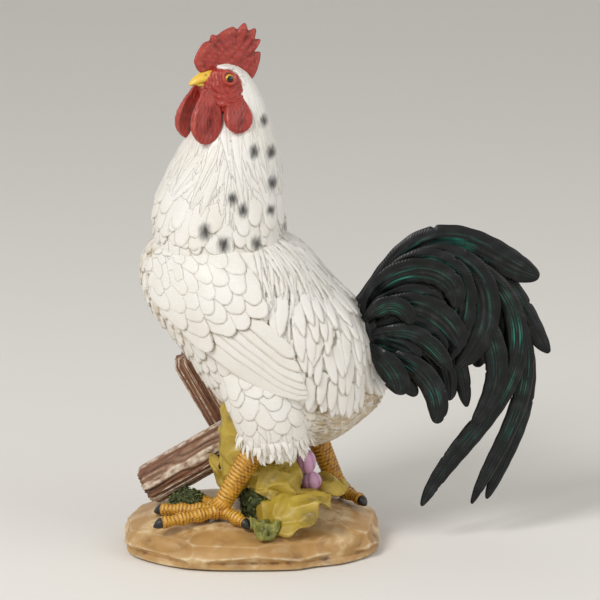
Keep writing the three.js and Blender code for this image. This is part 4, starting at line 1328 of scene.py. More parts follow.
@dataclass
class Head:
    """Head turned to the near side: bare red face, comb, wattles and ear lobes, beak, eyes and white hood."""

    place: Place = (-12.0, 0.0, TRUNK_MIDDLE + 172.0)
    turn: float = 28.0
    face_middle: Place = (-9.5, 0.0, 3.5)
    face_size: Place = (18.0, 15.5, 15.0)
    eye_radius: float = 4.0
    # Degrees away from the gaze, over which the pupil and the amber ring end
    pupil_edge: tuple[float, float] = (36, 41)
    ring_edge: tuple[float, float] = (64, 72)
    # Distances of the lid and of the fold round it from the eye's middle, and the height of the brow
    lid: float = 4.9
    lid_fold: float = 7.4
    brow_height: float = 16.2
    eye_place: Place = (-10.0, 11.6, 10.5)
    beak_root: float = -20.0
    # length, height, half height, half width, hook, bluntness
    upper_beak: tuple = (16.5, 11.2, 5.0, 6.2, 4.6, 1.4)
    lower_beak: tuple = (12.5, 5.6, 2.3, 5.0, -1.4, 2.0)
    # forward, out, height of the root; hang, width, thickness; sway forward and out
    wattle: tuple = (-24, 8, 4, 40.5, 25, 8, -6, 6)
    ear_lobe: tuple = (-5.5, 13, -1, 27.5, 22, 8, -2.5, 11)
    comb_thick: float = 6.0
    comb_centre: tuple[float, float] = (-2.0, 16.0)
    # angle and reach of the comb's rim
    comb_rim: tuple = (
        (178, 28), (166, 31.5), (137, 30.5), (129, 28), (121, 31), (115, 27.5), (98, 29.5), (86, 31),
        (80, 28.5), (71, 35.5), (62, 30), (54, 35.5), (46, 27.5), (39, 32), (29, 21), (24, 26.5),
        (2, 22.5), (-34, 19), (-48, 9), (-140, 6),
    )
    comb_notches: tuple = (-175, 129, 115, 80, 62, 46, 29)
    # Edge of the white hood: height and forward place
    hood_edge: tuple = (
        (-14, 5.5), (-4, 4.5), (0.1, 3.3), (3.8, 2.0), (8.3, 1.1), (13.5, -1.2), (16.8, -5.7), (17.6, -10.9),
        (18.7, -15.4), (21, -19),
    )
    hackle: Cut = Cut(length=9, width=3.6, rise=0.55, taper=0.25, point=0.8, rim=0.8)

    def set(self, points: Array) -> Array:
        """Moves points from the head's own frame to the figurine's."""
        cosine, sine = math.cos(math.radians(self.turn)), math.sin(math.radians(self.turn))
        x, y, z = np.moveaxis(points, -1, 0)
        return grid_of(x * cosine - y * sine, x * sine + y * cosine, z) + np.array(self.place)

    def build(self) -> list[Piece]:
        """Makes every piece of the head.

        Returns:
            The dressed pieces.
        """
        pieces = [self.face(), self.hood(), self.comb()]
        for side in Side:
            label = side.name.lower()
            pieces.append(self.eye(side))
            pieces.append(self.lobe(self.wattle, side, f"wattle_{label}"))
            pieces.append(self.lobe(self.ear_lobe, side, f"ear_lobe_{label}"))
        pieces.append(self.beak(self.upper_beak, "beak_upper"))
        pieces.append(self.beak(self.lower_beak, "beak_lower"))
        return pieces

    def face(self) -> Piece:
        """Bare face with lids round the eyes and folds in the skin.

        Returns:
            The face.
        """
        points = ball(self.face_middle, self.face_size, 170, 260)
        low = smooth(self.face_middle[2] - points[..., 2], 0, 13)
        points[..., 2] -= 0.5 * np.clip(self.face_middle[2] - points[..., 2], 0, None)
        points[..., 1] *= 1 + 0.75 * low
        points[..., 0] += 2.0 * low
        out = grid_normals(points, True)
        mirrored = points.copy()
        mirrored[..., 1] = np.abs(mirrored[..., 1])
        away = np.linalg.norm(mirrored - np.array(self.eye_place), axis=-1)
        lids = 1.7 * bell(away - self.lid, 1.1) - 0.9 * bell(away - self.lid_fold, 1.3)
        x, y, z = np.moveaxis(mirrored, -1, 0)
        brow = 1.5 * bell(z - self.brow_height - 0.18 * (x + 10), 1.5) * smooth(away, 4.5, 6.5)
        lids += brow * smooth(y, 3, 7) * smooth(4 - x, 0, 4)
        folds = 0.4 * np.sin(2 * math.pi * away / 3.8 + 1.6 * mottle(points, 12, seed=61))
        folds *= smooth(away, 7.5, 11)
        lumps = 0.3 * mottle(points, 5.0, seed=62)
        height = lids + folds + lumps * smooth(away, 5, 8)
        fields = {"crease": creases(height, True, passes=5, depth=0.5), "ridge": np.clip(height - 0.5, 0, 1)}
        return cast("face", self.set(points + out * height[..., None]), fields, Paint.COMB, "skin")

    def hood(self) -> Piece:
        """White feathers over the brow and the back of the head.

        Returns:
            The hood.
        """
        size = np.array(self.face_size) + 1.6
        points = ball(self.face_middle, size, 150, 260)
        out = unit((points - np.array(self.face_middle)) / size**2)
        edge = np.interp(points[..., 2], *np.array(self.hood_edge).T)
        inside = points[..., 0] - edge
        flat, facing = points.reshape(-1, 3), out.reshape(-1, 3)
        flow = settle(np.array([1.0, 0.0, -0.9]), facing)
        where = (inside.ravel() > -1) & (facing[:, 2] > -0.7)
        plumes = [
            Plume(self.hackle, flat[index] - 1.5 * flow[index], flow[index], facing[index])
            for index in scatter(flat, flow, where, 4.0, 2.8, seed=63)
        ]
        relief = carve(points, out, plumes, seed=64)
        rounded = np.sqrt(np.clip(inside / 2.0, 0, 1))
        height = relief.height * rounded - 1.3 * (1 - rounded)
        fields = plumage_fields(relief, True)
        outer = self.set(points + out * height[..., None])
        inner = self.set(points - SKIN_DEPTH * out)
        piece = shell_piece("hood", outer, inner, inside > 0, fields, closed=True)
        return dress(piece, Paint.PLUMAGE)

    def comb(self) -> Piece:
        """Upright comb with blunt points and a grained skin.

        Returns:
            The comb.
        """
        angle, reach = np.array(self.comb_rim, float).T
        order = np.argsort(angle)
        turn = np.linspace(-180, 180, 720, endpoint=False)
        rim = np.interp(turn, angle[order], reach[order], period=360)
        kernel = bell(np.arange(-12, 13) * 0.5, 2.2)
        rim = sum(weight * np.roll(rim, k - 12) for k, weight in enumerate(kernel / kernel.sum()))
        bow = np.linspace(-1, 1, 131)[:, None]
        reach_share = 0.015 + 0.985 * np.cos(0.5 * math.pi * bow) ** 0.8
        radius = reach_share * rim[None, :]
        radians = np.radians(turn)[None, :]
        x = self.comb_centre[0] + radius * np.cos(radians)
        z = self.comb_centre[1] + radius * np.sin(radians)
        side = signed_power(np.sin(0.5 * math.pi * bow), 0.5)
        points = grid_of(x, 0.5 * self.comb_thick * lerp(1.15, 0.8, reach_share) * side, z)
        notch = sum(bell(turn - place, 3.5) for place in self.comb_notches) * smooth(reach_share, 0.5, 0.85)
        rolled = 0.7 * bell(reach_share - 0.9, 0.07)
        wrinkle = mottle(points, 2.4, seed=67)
        grain = 0.25 * mottle(points, 6.0, seed=65) + 0.16 * wrinkle + rolled - 1.1 * notch
        points[..., 1] += grain * side
        fields = {
            "crease": np.clip(0.8 * notch + 0.4 * bell(reach_share - 0.78, 0.06) - 0.35 * wrinkle, 0, 1),
            "ridge": np.clip(rolled + 0.3 * grain, 0, 1),
        }
        return cast("comb", self.set(points), fields, Paint.COMB)

    def eye(self, side: Side) -> Piece:
        """Glossy eye with an amber ring round the pupil.

        Args:
            side: Side of the head.

        Returns:
            The eyeball.
        """
        middle = np.array(self.eye_place) * np.array([1, side.value, 1])
        points = ball(middle, (self.eye_radius,) * 3, 70, 90)
        gaze = unit(np.array([-0.12, side.value, 0.05]))
        away = np.degrees(np.arccos(np.clip(unit(points - middle) @ gaze, -1, 1)))
        fields = {"tone": smooth(away, *self.pupil_edge), "spot": smooth(away, *self.ring_edge)}
        return cast(f"eye_{side.name.lower()}", self.set(points), fields, Paint.EYE, "ball")

    def lobe(self, spec: tuple, side: Side, name: str) -> Piece:
        """Hanging lobe of skin with a thick rim and shallow folds.

        Args:
            spec: Measures of the lobe, in the order of the wattle's.
            side: Side of the head.
            name: Name of its CAD node.

        Returns:
            The lobe.
        """
        x, y, z, hang, width, thick, sway_x, sway_y = spec
        share = np.sin(np.linspace(0, 0.5 * math.pi, 130))[:, None]
        turn = full_turn(120)
        swell = np.sin(math.pi * (0.06 + 0.9395 * share**1.5)) ** 0.5
        drift = share * (2 - share)
        u = np.cos(turn)
        wide = 0.5 * width * swell * signed_power(u, 0.9)
        folds = 0.14 * np.sin(2 * math.pi * (1.1 * u * swell + 0.6 * share)) * smooth(share, 0.05, 0.3)
        dish = -0.62 * bell(u - 0.1, 0.55) * smooth(share, 0.15, 0.5) * (1 - smooth(share, 0.78, 0.95))
        lip = 0.16 * bell(np.abs(u) - 0.86, 0.12) * smooth(share, 0.2, 0.5)
        deep = 0.5 * thick * swell * signed_power(np.sin(turn), 0.6) * (1 + dish + folds + lip)
        out = side.value * (y + sway_y * drift)
        points = grid_of(x + sway_x * drift + wide, out + deep, z - share * hang)
        wrinkle = mottle(points * np.array([1.0, 1.0, 0.5]), 2.2, seed=66)
        grain = 0.16 * wrinkle
        points += grain[..., None] * unit(points - points.mean(axis=1, keepdims=True))
        rim = bell(np.abs(u) - 0.93, 0.1)
        fields = {
            "crease": np.clip(-1.1 * dish - folds - 0.35 * wrinkle, 0, 1),
            "ridge": np.clip(rim * smooth(share, 0.2, 0.5) + 0.3 * wrinkle, 0, 1),
        }
        return cast(name, self.set(points), fields, Paint.COMB)

    def beak(self, spec: tuple, name: str) -> Piece:
        """Half of the beak, the upper one ridged, hooked and with nostrils.

        Args:
            spec: Measures of the half.
            name: Name of its CAD node.

        Returns:
            The half.
        """
        length, height, half_height, half_width, hook, blunt = spec
        share = np.linspace(-0.35, 1, 90)[:, None]
        turn = full_turn(90)
        taper = np.sqrt(1 - (0.985 * np.clip(share, 0, 1)) ** blunt)
        keel = 1.0 + 0.12 * bell(turn - 0.5 * math.pi, 0.35) * (hook > 0)
        points = grid_of(
            self.beak_root - share * length,
            half_width * taper * np.cos(turn),
            height - hook * np.clip(share, 0, 1) ** 2 + half_height * taper * keel * np.sin(turn),
        )
        nostril = bell(share - 0.28, 0.09) * bell(np.abs(np.cos(turn)) - 0.8, 0.12)
        nostril *= (np.sin(turn) > 0) * (hook > 0)
        points[..., 1] -= 1.1 * nostril * np.sign(points[..., 1])
        gape = bell(np.sin(turn) + np.sign(hook) * 0.75, 0.35)
        fields = {"crease": np.clip(nostril + 0.7 * gape, 0, 1), "tone": smooth(-share, -0.25, 0.2)}
        return cast(name, self.set(points), fields, Paint.BEAK)


# Feet


@dataclass
class Leg:
    """Scaled shank and four toes that end in claws."""

    side: Side
    hip: tuple[float, float]
    ankle: Place
    toes: tuple[tuple[float, float], ...]
    hip_height: float = TRUNK_MIDDLE - 86.0
    shank: tuple[float, float] = (9.4, 6.8)
    toe: tuple[float, float] = (6.0, 4.6)
    toe_end: float = 3.0
    toe_height: float = 4.0
    knuckle: Place = (7.6, 7.6, 6.6)
    claw: float = 6.8
    pitch: float = 3.0

    def build(self) -> list[Piece]:
        """Makes the whole foot as one casting.

        Returns:
            The dressed pieces.
        """
        ankle = on_stone(self.ankle)
        hip = np.array([self.hip[0], self.hip[1], self.hip_height])
        parts = [self.limb(hip, ankle, self.shank, False)]
        knuckle = ball(ankle, self.knuckle, 50, 60)
        ringed = np.abs(np.sin(math.pi * (knuckle[..., 2] - knuckle[..., 0]) / self.pitch)) ** 0.6
        knuckle += unit(knuckle - ankle) * (0.8 * (ringed - 0.6))[..., None]
        fields = {"crease": np.clip(1.5 - 1.8 * ringed, 0, 1), "spot": 0.0}
        parts.append(loft_piece("knuckle", knuckle, fields))
        for step in self.toes:
            spread = np.array([*step, 0.0])
            end = ankle + spread + self.toe_end * unit(spread)
            end[2] = STONE_TOP + self.toe_height
            root = ankle + 0.1 * spread
            root[2] = lerp(end[2], ankle[2], 0.4)
            parts.append(self.limb(root, end, self.toe, True))
        name = f"leg_{self.side.name.lower()}"
        return [dress(join(parts, name + "_cast"), Paint.SCALES, name)]

    def limb(self, start: Array, end: Array, radii: tuple[float, float], clawed: bool) -> Piece:
        """Tapering bar with a plate for each scute in front and pebbles behind.

        Args:
            start: Where it starts.
            end: Where it ends, before the claw.
            radii: Radius at the start and end.
            clawed: Whether it ends in a claw.

        Returns:
            The limb.
        """
        length = float(np.linalg.norm(end - start))
        axis = (end - start) / length
        steep = math.hypot(axis[0], axis[1]) < 0.3
        level = np.array([0.0, 1.0, 0.0] if steep else [-axis[1], axis[0], 0.0])
        across = unit(level - (level @ axis) * axis)
        up = np.cross(axis, across)
        up = up if (up[2] > 0 if clawed else up[0] < 0) else -up
        far = length + (self.claw if clawed else 0.0)
        distance = np.linspace(0, far, int(far / 0.55))[:, None]
        turn = full_turn(48)
        share = np.clip(distance / length, 0, 1)
        nail = np.clip((distance - length) / self.claw, 0, 1)
        radius = lerp(radii[0], radii[1], share)
        if clawed:
            radius = radius * (1 - 0.12 * (1 - np.cos(2 * math.pi * distance / 14.0)))
            radius = np.where(nail > 0, radii[1] * (1 - nail**2.4) * 0.78 + 0.45, radius)
        front = smooth(np.sin(turn), -0.15, 0.35)
        column = 0.5 * self.pitch * (np.cos(turn) > 0.1)
        scute = np.abs(np.sin(math.pi * (distance + column) / self.pitch)) ** 0.6
        pebble = np.abs(np.sin(math.pi * distance / 2.6) * np.sin(7 * turn + math.pi * distance / 5.2)) ** 0.5
        plate = lerp(pebble, scute, front) - 0.5 * bell(np.cos(turn) - 0.1, 0.09) * (np.sin(turn) > 0)
        carved = (plate - 0.6) * lerp(0.9, 1.0, front) * (nail <= 0)
        middle = (start + distance * axis)[:, None]
        reach = (radius + 0.8 * carved)[..., None]
        droop = np.array([0, 0, -1.9]) * (nail**2)[..., None]
        points = middle + reach * (np.cos(turn)[..., None] * across + np.sin(turn)[..., None] * up) + droop
        fields = {
            "crease": np.clip(1.5 - 1.8 * plate, 0, 1) * (nail <= 0),
            "ridge": smooth(plate, 0.8, 1.0) * front * (nail <= 0),
            "spot": smooth(nail, 0.0, 0.06),
        }
        return loft_piece("limb", points, fields)


# Base


@dataclass
class Stone:
    """Flat stone with chiselled sides and a worn top."""

    length: float = 200.0
    depth: float = 150.0
    felt: float = 1.5
    shoulder: float = STONE_TOP - 10.0
    flare: float = 6.0
    fullness: float = 2.5
    # angle, depth and spread of the places where the outline is pinched
    pinches: tuple = ((-52, 4, 8), (170, 4, 9), (64, 4, 9))
    # height and count of the chiselled facets in each band
    facets: tuple = ((6.0, 12), (16.0, 14), (25.0, 11))

    def reach(self, angle: Array, inset: Array) -> Array:
        """Distance of the outline from the middle.

        Args:
            angle: Angles in radians.
            inset: Distance inside the widest outline, mm.

        Returns:
            Distances in mm.
        """
        cosine = np.abs(np.cos(angle)) / (self.length / 2 - inset)
        sine = np.abs(np.sin(angle)) / (self.depth / 2 - inset)
        reach = (cosine**self.fullness + sine**self.fullness) ** (-1 / self.fullness)
        for place, deep, spread in self.pinches:
            away = (np.degrees(angle) - place + 180) % 360 - 180
            reach = reach - deep * bell(away, spread)
        return reach

    def build(self) -> list[Piece]:
        """Carves the stone.

        Returns:
            The dressed pieces.
        """
        top, flare = STONE_TOP, self.flare
        levels = np.array([
            # inset, height, roughness
            (flare * 3.0, self.felt, 0), (flare * 0.6, self.felt, 0.2),
            (0, lerp(self.felt, self.shoulder, 0.6), 1), (flare * 0.4, self.shoulder, 1),
            (flare * 1.6, lerp(self.shoulder, top, 0.42), 0.7),
            (flare * 4, lerp(self.shoulder, top, 0.85), 0.5), (flare * 7, top, 0.3), (flare * 10, top, 0.15),
        ])
        turn = full_turn(720)
        share = np.linspace(0, 1, 130)
        inset, height, rough = between(levels, share).T[..., None]
        reach = self.chiselled(turn, inset, height, rough)
        shape = grid_of(reach * np.cos(turn), reach * np.sin(turn), height)
        out = grid_of(np.cos(turn), np.sin(turn), 0.35)
        shape += out * (rough * (0.22 * mottle(shape, 11, seed=71) - 0.8))[..., None]
        shape[..., 2] = np.maximum(shape[..., 2], self.felt)
        lid = np.linspace(1, 0.03, 40)[1:, None, None] * (shape[-1] - [0, 0, top]) + np.array([0, 0, top])
        lid[..., 2] += 0.35 * mottle(lid, 24, seed=73) * smooth(np.linspace(0, 1, 39), 0, 0.2)[:, None]
        shape = np.concatenate([shape, lid])
        relief = fine_relief(shape)
        stain = smooth(-mottle(shape, 26, seed=74), 0.1, 1.6)
        pale = smooth(mottle(shape, 32, seed=75), 0.0, 1.4)
        fields = {
            "crease": np.clip(smooth(-relief, 0.2, 2.5) + 0.8 * stain, 0, 1),
            "ridge": smooth(relief, 0.3, 3.0) + 0.5 * smooth(mottle(shape, 17, seed=76), 0.5, 2.0),
            # tone: random pale patches, and the top and the top 4 mm of the sides painted paler than the sides
            "tone": 0.6 * pale + 0.8 * smooth(shape[..., 2], top - 4, top - 1),
        }
        return [cast("base_stone", shape, fields, Paint.STONE)]

    def chiselled(self, turn: Array, inset: Array, height: Array, rough: Array) -> Array:
        """Outline cut by flat facets that change from the foot of the stone to its top.

        Args:
            turn: Angles in radians.
            inset: Inset at each level.
            height: Height of each level.
            rough: How far each level is cut.

        Returns:
            Distance from the middle for each level and angle.
        """
        bare = self.reach(turn, inset)
        chance = np.random.default_rng(79)
        cut = bare.copy()
        for band, count in self.facets:
            near = bell(height - band, 6.5)
            for place in (np.arange(count) + chance.uniform(-0.3, 0.3, count)) * 2 * math.pi / count:
                away = np.cos(turn - place)
                level = self.reach(np.array([[place]]), inset) * chance.uniform(0.94, 0.985)
                facet = np.where(away > 0.6, (level + 6.0 * (1 - near)) / np.maximum(away, 0.6), np.inf)
                cut = np.minimum(cut, np.maximum(facet, bare - 6.0))
        return lerp(bare, cut, np.clip(rough * 1.6, 0, 1))


def fine_relief(points: Array) -> Array:
    """How far each grid point stands out of its softened surroundings.

    Args:
        points: Grid of points whose columns run round.

    Returns:
        One height for each point, in thirds of a mm.
    """
    soft = points.copy()
    for _ in range(24):
        row = np.concatenate([soft[:1], soft[:-1]]) + np.concatenate([soft[1:], soft[-1:]])
        soft = 0.2 * (soft + row + np.roll(soft, 1, 1) + np.roll(soft, -1, 1))
    offset = points - soft
    out = unit(points - np.array([0, 0, points[..., 2].mean()]))
    return np.sum(offset * out, axis=-1) * 3.0


@dataclass
class Rail:
    """Split rail with weathered grooves along the grain and splintered ends."""

    name: str
    start: Place
    run: float
    rise: float
    radius: float
    ridges: int = 8

    def build(self) -> list[Piece]:
        """Carves the rail.

        Returns:
            The dressed pieces.
        """
        axis, up = heading(0, self.rise), heading(0, self.rise + 90)
        seed = int(self.run)
        share = np.linspace(0, 1, int(self.run / 0.7))[:, None]
        turn = full_turn(420)
        ring = (20 * np.cos(turn), 20 * np.sin(turn))
        rough = grid_of(*ring, 14 * share)
        warp = 0.22 * mottle(rough, 34, seed)
        grain = np.abs(np.sin(0.5 * self.ridges * (turn + warp)))
        waves = 0.05 * np.sin(16 * share + 3 * turn) + 1.6 * warp
        fine = np.abs(np.sin(20 * (turn + waves) + 5 * share))
        relief = 0.9 * grain**0.6 + 1.0 * fine**0.6 + 0.6 * mottle(grid_of(*ring, 3 * share), 5, seed + 1)
        worn = 1 - 0.22 * bell(share, 0.03) - 0.22 * bell(1 - share, 0.03)
        reach = worn * (self.radius - 0.6 + relief)
        ragged = mottle(rough[:1] * np.array([1, 1, 0]), 9, seed + 2)
        ends = np.where(share < 0.5, 1 - smooth(share, 0, 0.06), -smooth(share, 0.94, 1.0))
        along = share * self.run + 1.8 * np.abs(ragged) * ends
        points = (
            on_stone(self.start)
            + along[..., None] * axis
            + (reach * np.cos(turn))[..., None] * np.array([0, 1.0, 0])
            + (reach * np.sin(turn))[..., None] * up
        )
        fields = {
            "crease": np.clip(1.1 - relief / 1.5, 0, 1),
            "ridge": smooth(relief, 1.5, 2.3),
            "tone": smooth(mottle(rough, 25, seed + 3), -0.2, 1.2),
        }
        return [cast(self.name, points, fields, Paint.RAIL)]


@dataclass
class Leaf:
    """Cabbage leaf: a sheet that arches, cups and ruffles, with a rib and side veins."""

    name: str
    stalk: Place
    level: float
    rise: float
    arch: float
    length: float
    width: float
    cup: float
    ruffle: float
    roll: float
    paint: Paint = Paint.LEAF
    thick: float = 3.0
    sag: float = 0.0
    lumps: float = 0.0

    def rings(self) -> tuple[Array, Fields]:
        """Shapes the leaf.

        Returns:
            Rings of points for a closed loft, and the values that the paint reads.
        """
        steps, fine = 6, 15
        u = np.linspace(0, 1, steps * fine + 1)
        slope = np.radians(self.rise + self.arch * u)
        turn = math.radians(self.level)
        tangent = grid_of(np.cos(slope) * math.cos(turn), np.cos(slope) * math.sin(turn), np.sin(slope))
        stations = self.length / steps * tangent[::fine]
        stations[0] = 0
        middle = between(np.cumsum(stations, axis=0), u) + on_stone(self.stalk)
        middle[:, 2] -= self.sag * (1 - smooth(u, 0, 0.5))
        level = heading(self.level + 90, 0)
        roll = math.radians(self.roll)
        across = math.cos(roll) * level + math.sin(roll) * np.cross(tangent, level)
        normal = np.cross(tangent, across)

        v = np.linspace(-1, 1, 61)
        uu, vv = np.meshgrid(u, v, indexing="ij")
        edge = np.abs(vv)
        half = 0.5 * self.width * np.sin(math.pi * (0.1 + 0.82 * uu**0.8)) ** 0.6
        wavy = 1 + 0.04 * np.sin(2 * math.pi * (3.1 * uu + 0.3 * np.sign(vv))) * edge**3
        spread = np.sqrt(np.clip(np.sin(math.pi * uu), 0, 1))
        ruffled = self.ruffle * np.sin(2 * math.pi * (2.2 * uu + 0.2 * vv))
        frill = 0.15 * self.ruffle * np.sin(2 * math.pi * (5.1 * uu - 0.1 * vv)) * edge**2
        vein = (uu * 7.5 - 1.1 * edge) % 1.0
        veins = bell(vein - 0.5, 0.12) * (1 - bell(edge, 0.1)) * smooth(1 - edge, 0, 0.25)
        rib = bell(edge, 0.07 * lerp(1.5, 0.6, uu))
        blister = 0.25 * np.sin(2 * math.pi * (uu * 7.5 - 1.1 * edge)) * np.sin(9 * edge)
        cloth = grid_of(0.8 * uu * self.length, vv * half, 0.0)
        crumple = 0.9 - 1.3 * np.abs(mottle(cloth, 19, seed=int(self.length)))
        relief = 0.3 * rib + 0.1 * veins + 0.5 * blister + 2.0 * crumple * smooth(1 - edge, -0.3, 0.3)
        relief -= 2.6 * bell((uu * 1.7 + 0.35 * vv) % 1.0 - 0.5, 0.09) * smooth(1 - edge, 0, 0.3)
        relief += self.lumps * mottle(cloth, 4.5, seed=93)
        lift = spread * vv * vv * (self.cup + ruffled + frill)
        body = 0.5 * self.thick * (1 - 0.62 * vv * vv)
        sheet = middle[:, None] + (vv * half * wavy)[..., None] * across[:, None]
        front = sheet + (lift + body + relief * 0.8)[..., None] * normal[:, None]
        back = sheet + (lift - body - relief * 0.5)[..., None] * normal[:, None]
        points = np.concatenate([front, back[:, ::-1]], axis=1)
        values = {
            "crease": np.clip(0.3 * bell(edge - 0.12, 0.06) + 0.6 * smooth(-crumple, -0.2, 1.0), 0, 1),
            "ridge": np.clip(0.2 * rib + 0.1 * veins + 0.8 * smooth(crumple, 0.5, 0.95), 0, 1),
            "tone": 0.5 * smooth(edge + 0.12 * np.sin(11 * uu), 0.72, 1.05) + 0.5 * smooth(uu, 0.86, 1.0),
        }
        return points, {key: np.concatenate([value, value[:, ::-1]], axis=1) for key, value in values.items()}

    def build(self) -> list[Piece]:
        """Makes the leaf."""
        return [cast(self.name, *self.rings(), self.paint)]


@dataclass
class Cushion:
    """Cushion of moss: a lumpy core under many curled strands."""

    name: str
    middle: Place
    size: Place
    strands: int = 260
    thick: float = 0.75

    def build(self) -> list[Piece]:
        """Makes the cushion.

        Returns:
            The dressed pieces.
        """
        middle = on_stone(self.middle)
        size = np.array(self.size, float)
        core = ball(middle, size * 0.88, 60, 90)
        lumps = 1.3 * mottle(core, 5, seed=81)
        core += unit(core - middle) * lumps[..., None]
        parts = [loft_piece("core", core, {"crease": smooth(-lumps, -0.6, 1.0), "ridge": 0.0})]
        chance = np.random.default_rng(82)
        for _ in range(self.strands):
            out = unit(chance.normal(size=3))
            if out[2] < -0.35:
                continue
            root = middle + out * size * 0.86
            parts.append(self.strand(root, out, chance))
        return [dress(join(parts, self.name + "_cast"), Paint.MOSS, self.name)]

    def strand(self, root: Array, out: Array, chance: np.random.Generator) -> Piece:
        """One curled strand.

        Args:
            root: Where it grows.
            out: Direction in which it grows.
            chance: Source of its curl.

        Returns:
            The strand.
        """
        side = unit(np.cross(out, chance.normal(size=3)))
        share = np.linspace(0, 1, 9)
        curl = chance.uniform(1.5, 3.5)
        length = chance.uniform(3.0, 5.0)
        bow = grid_of(np.sin(curl * share), 1 - np.cos(curl * share)) * length / curl
        middle = root + bow[:, :1] * out + bow[:, 1:] * side
        turn = full_turn(6)
        radius = (self.thick * (1 - share**3) + 0.1)[:, None]
        beside = np.cross(out, side)
        ring = np.cos(turn)[..., None] * beside + np.sin(turn)[..., None] * unit(out + side)
        points = middle[:, None] + radius[..., None] * ring
        fields = {"crease": (1 - share)[:, None], "ridge": chance.random() * share[:, None]}
        return loft_piece("strand", points, fields)


@dataclass
class Bud:
    """Round bud of closed petals."""

    name: str
    middle: Place
    size: Place
    petals: int = 5

    def build(self) -> list[Piece]:
        """Makes the bud.

        Returns:
            The dressed pieces.
        """
        middle = on_stone(self.middle)
        points = ball(middle, self.size, 90, 150)
        offset = points - middle
        turn = np.arctan2(offset[..., 1], offset[..., 0])
        slope = np.arccos(np.clip(offset[..., 2] / self.size[2], -1, 1))
        petal = np.abs(np.cos(0.5 * self.petals * (turn + 0.15 * np.sin(2 * slope))))
        relief = 0.9 * petal**0.5 * np.sin(slope) ** 0.7 - 0.7
        points += unit(offset) * relief[..., None]
        fields = {
            "crease": np.clip(1.05 - 1.5 * petal, 0, 1) * np.sin(slope),
            "ridge": smooth(petal, 0.75, 1.0) * smooth(-slope, -1.6, -0.3),
            "tone": smooth(slope, 2.1, 2.8),
        }
        return [cast(self.name, points, fields, Paint.BUD)]


@dataclass
class Base:
    """Everything that stands on the stone beside the bird."""

    rails: tuple[Rail, ...] = (
        Rail("rail_lying", (-82, 13, 11), run=103, rise=30, radius=14.5),
        Rail("rail_upright", (10, 34, 7), run=122, rise=119, radius=13.5),
    )
    leaves: tuple[Leaf, ...] = (
        # name, stalk, level, rise, arch, length, width
        Leaf("upright_leaf", (-18, -20, 26), 168, 74, 30, 72, 40, cup=15, ruffle=5, roll=34, thick=4.5),
        Leaf("folded_leaf", (-10, -24, 22), 190, 70, 60, 46, 36, cup=13, ruffle=5, roll=38, thick=4.5),
        Leaf("low_leaf", (-16, -8, 8), 176, 50, 30, 40, 24, cup=6, ruffle=3, roll=15),
        Leaf("broad_leaf", (32, -20, 44), 210, -10, -46, 39, 50, cup=-7, ruffle=4, roll=-42, thick=3.6),
        Leaf("front_leaf", (45, -19, 25.5), 234, 12, -75, 60, 60, cup=-6, ruffle=5, roll=4, sag=8),
        Leaf("rear_leaf", (34, -2, 20), -16, 24, -46, 42, 26, cup=-4, ruffle=2, roll=20),
        Leaf("front_sprig", (9, -50, 3), 280, 10, -50, 22, 22, 3, 2.6, 0, Paint.SPRIG, lumps=1.8),
    )
    cushions: tuple[Cushion, ...] = (
        Cushion("left_moss", (-48, -4, 5), (15, 11, 10)),
        Cushion("middle_moss", (7, -22, 13), (17, 14, 22), strands=340),
    )
    buds: tuple[Bud, ...] = (
        Bud("upper_bud", (41, -12, 39), (8, 8, 10.5)),
        Bud("lower_bud", (45.5, -13, 24.2), (7.8, 7.8, 7.8)),
    )

    def build(self) -> list[Piece]:
        """Makes the stone and all that grows or lies on it.

        Returns:
            The dressed pieces.
        """
        pieces = Stone().build()
        for item in (*self.rails, *self.leaves, *self.cushions, *self.buds):
            pieces += item.build()
        return pieces


# Paint


def linear(colour: str) -> tuple[float, float, float, float]:
    """Colour written as sRGB hex, as linear red, green, blue and alpha."""
    parts = [int(colour[k : k + 2], 16) / 255 for k in (1, 3, 5)]
    return (*(part / 12.92 if part <= 0.04045 else ((part + 0.055) / 1.055) ** 2.4 for part in parts), 1.0)


MATH = "ShaderNodeMath"
RANGE = "ShaderNodeMapRange"


def add_node(tree: bpy.types.NodeTree, kind: str, inputs: dict, **settings: object) -> bpy.types.Node:
    """Adds a node to a tree.

    Args:
        tree: Node tree of a material or world.
        kind: Type of the node.
        inputs: Values or outputs, by the input's name or number; a node stands for its first output.
        settings: The node's own properties.

    Returns:
        The node.
    """
    made = tree.nodes.new(kind)
    for name, value in settings.items():
        setattr(made, name, value)
    for name, value in inputs.items():
        if isinstance(value, bpy.types.Node):
            value = value.outputs[0]
        if isinstance(value, bpy.types.NodeSocket):
            tree.links.new(value, made.inputs[name])
        else:
            made.inputs[name].default_value = value
    return made


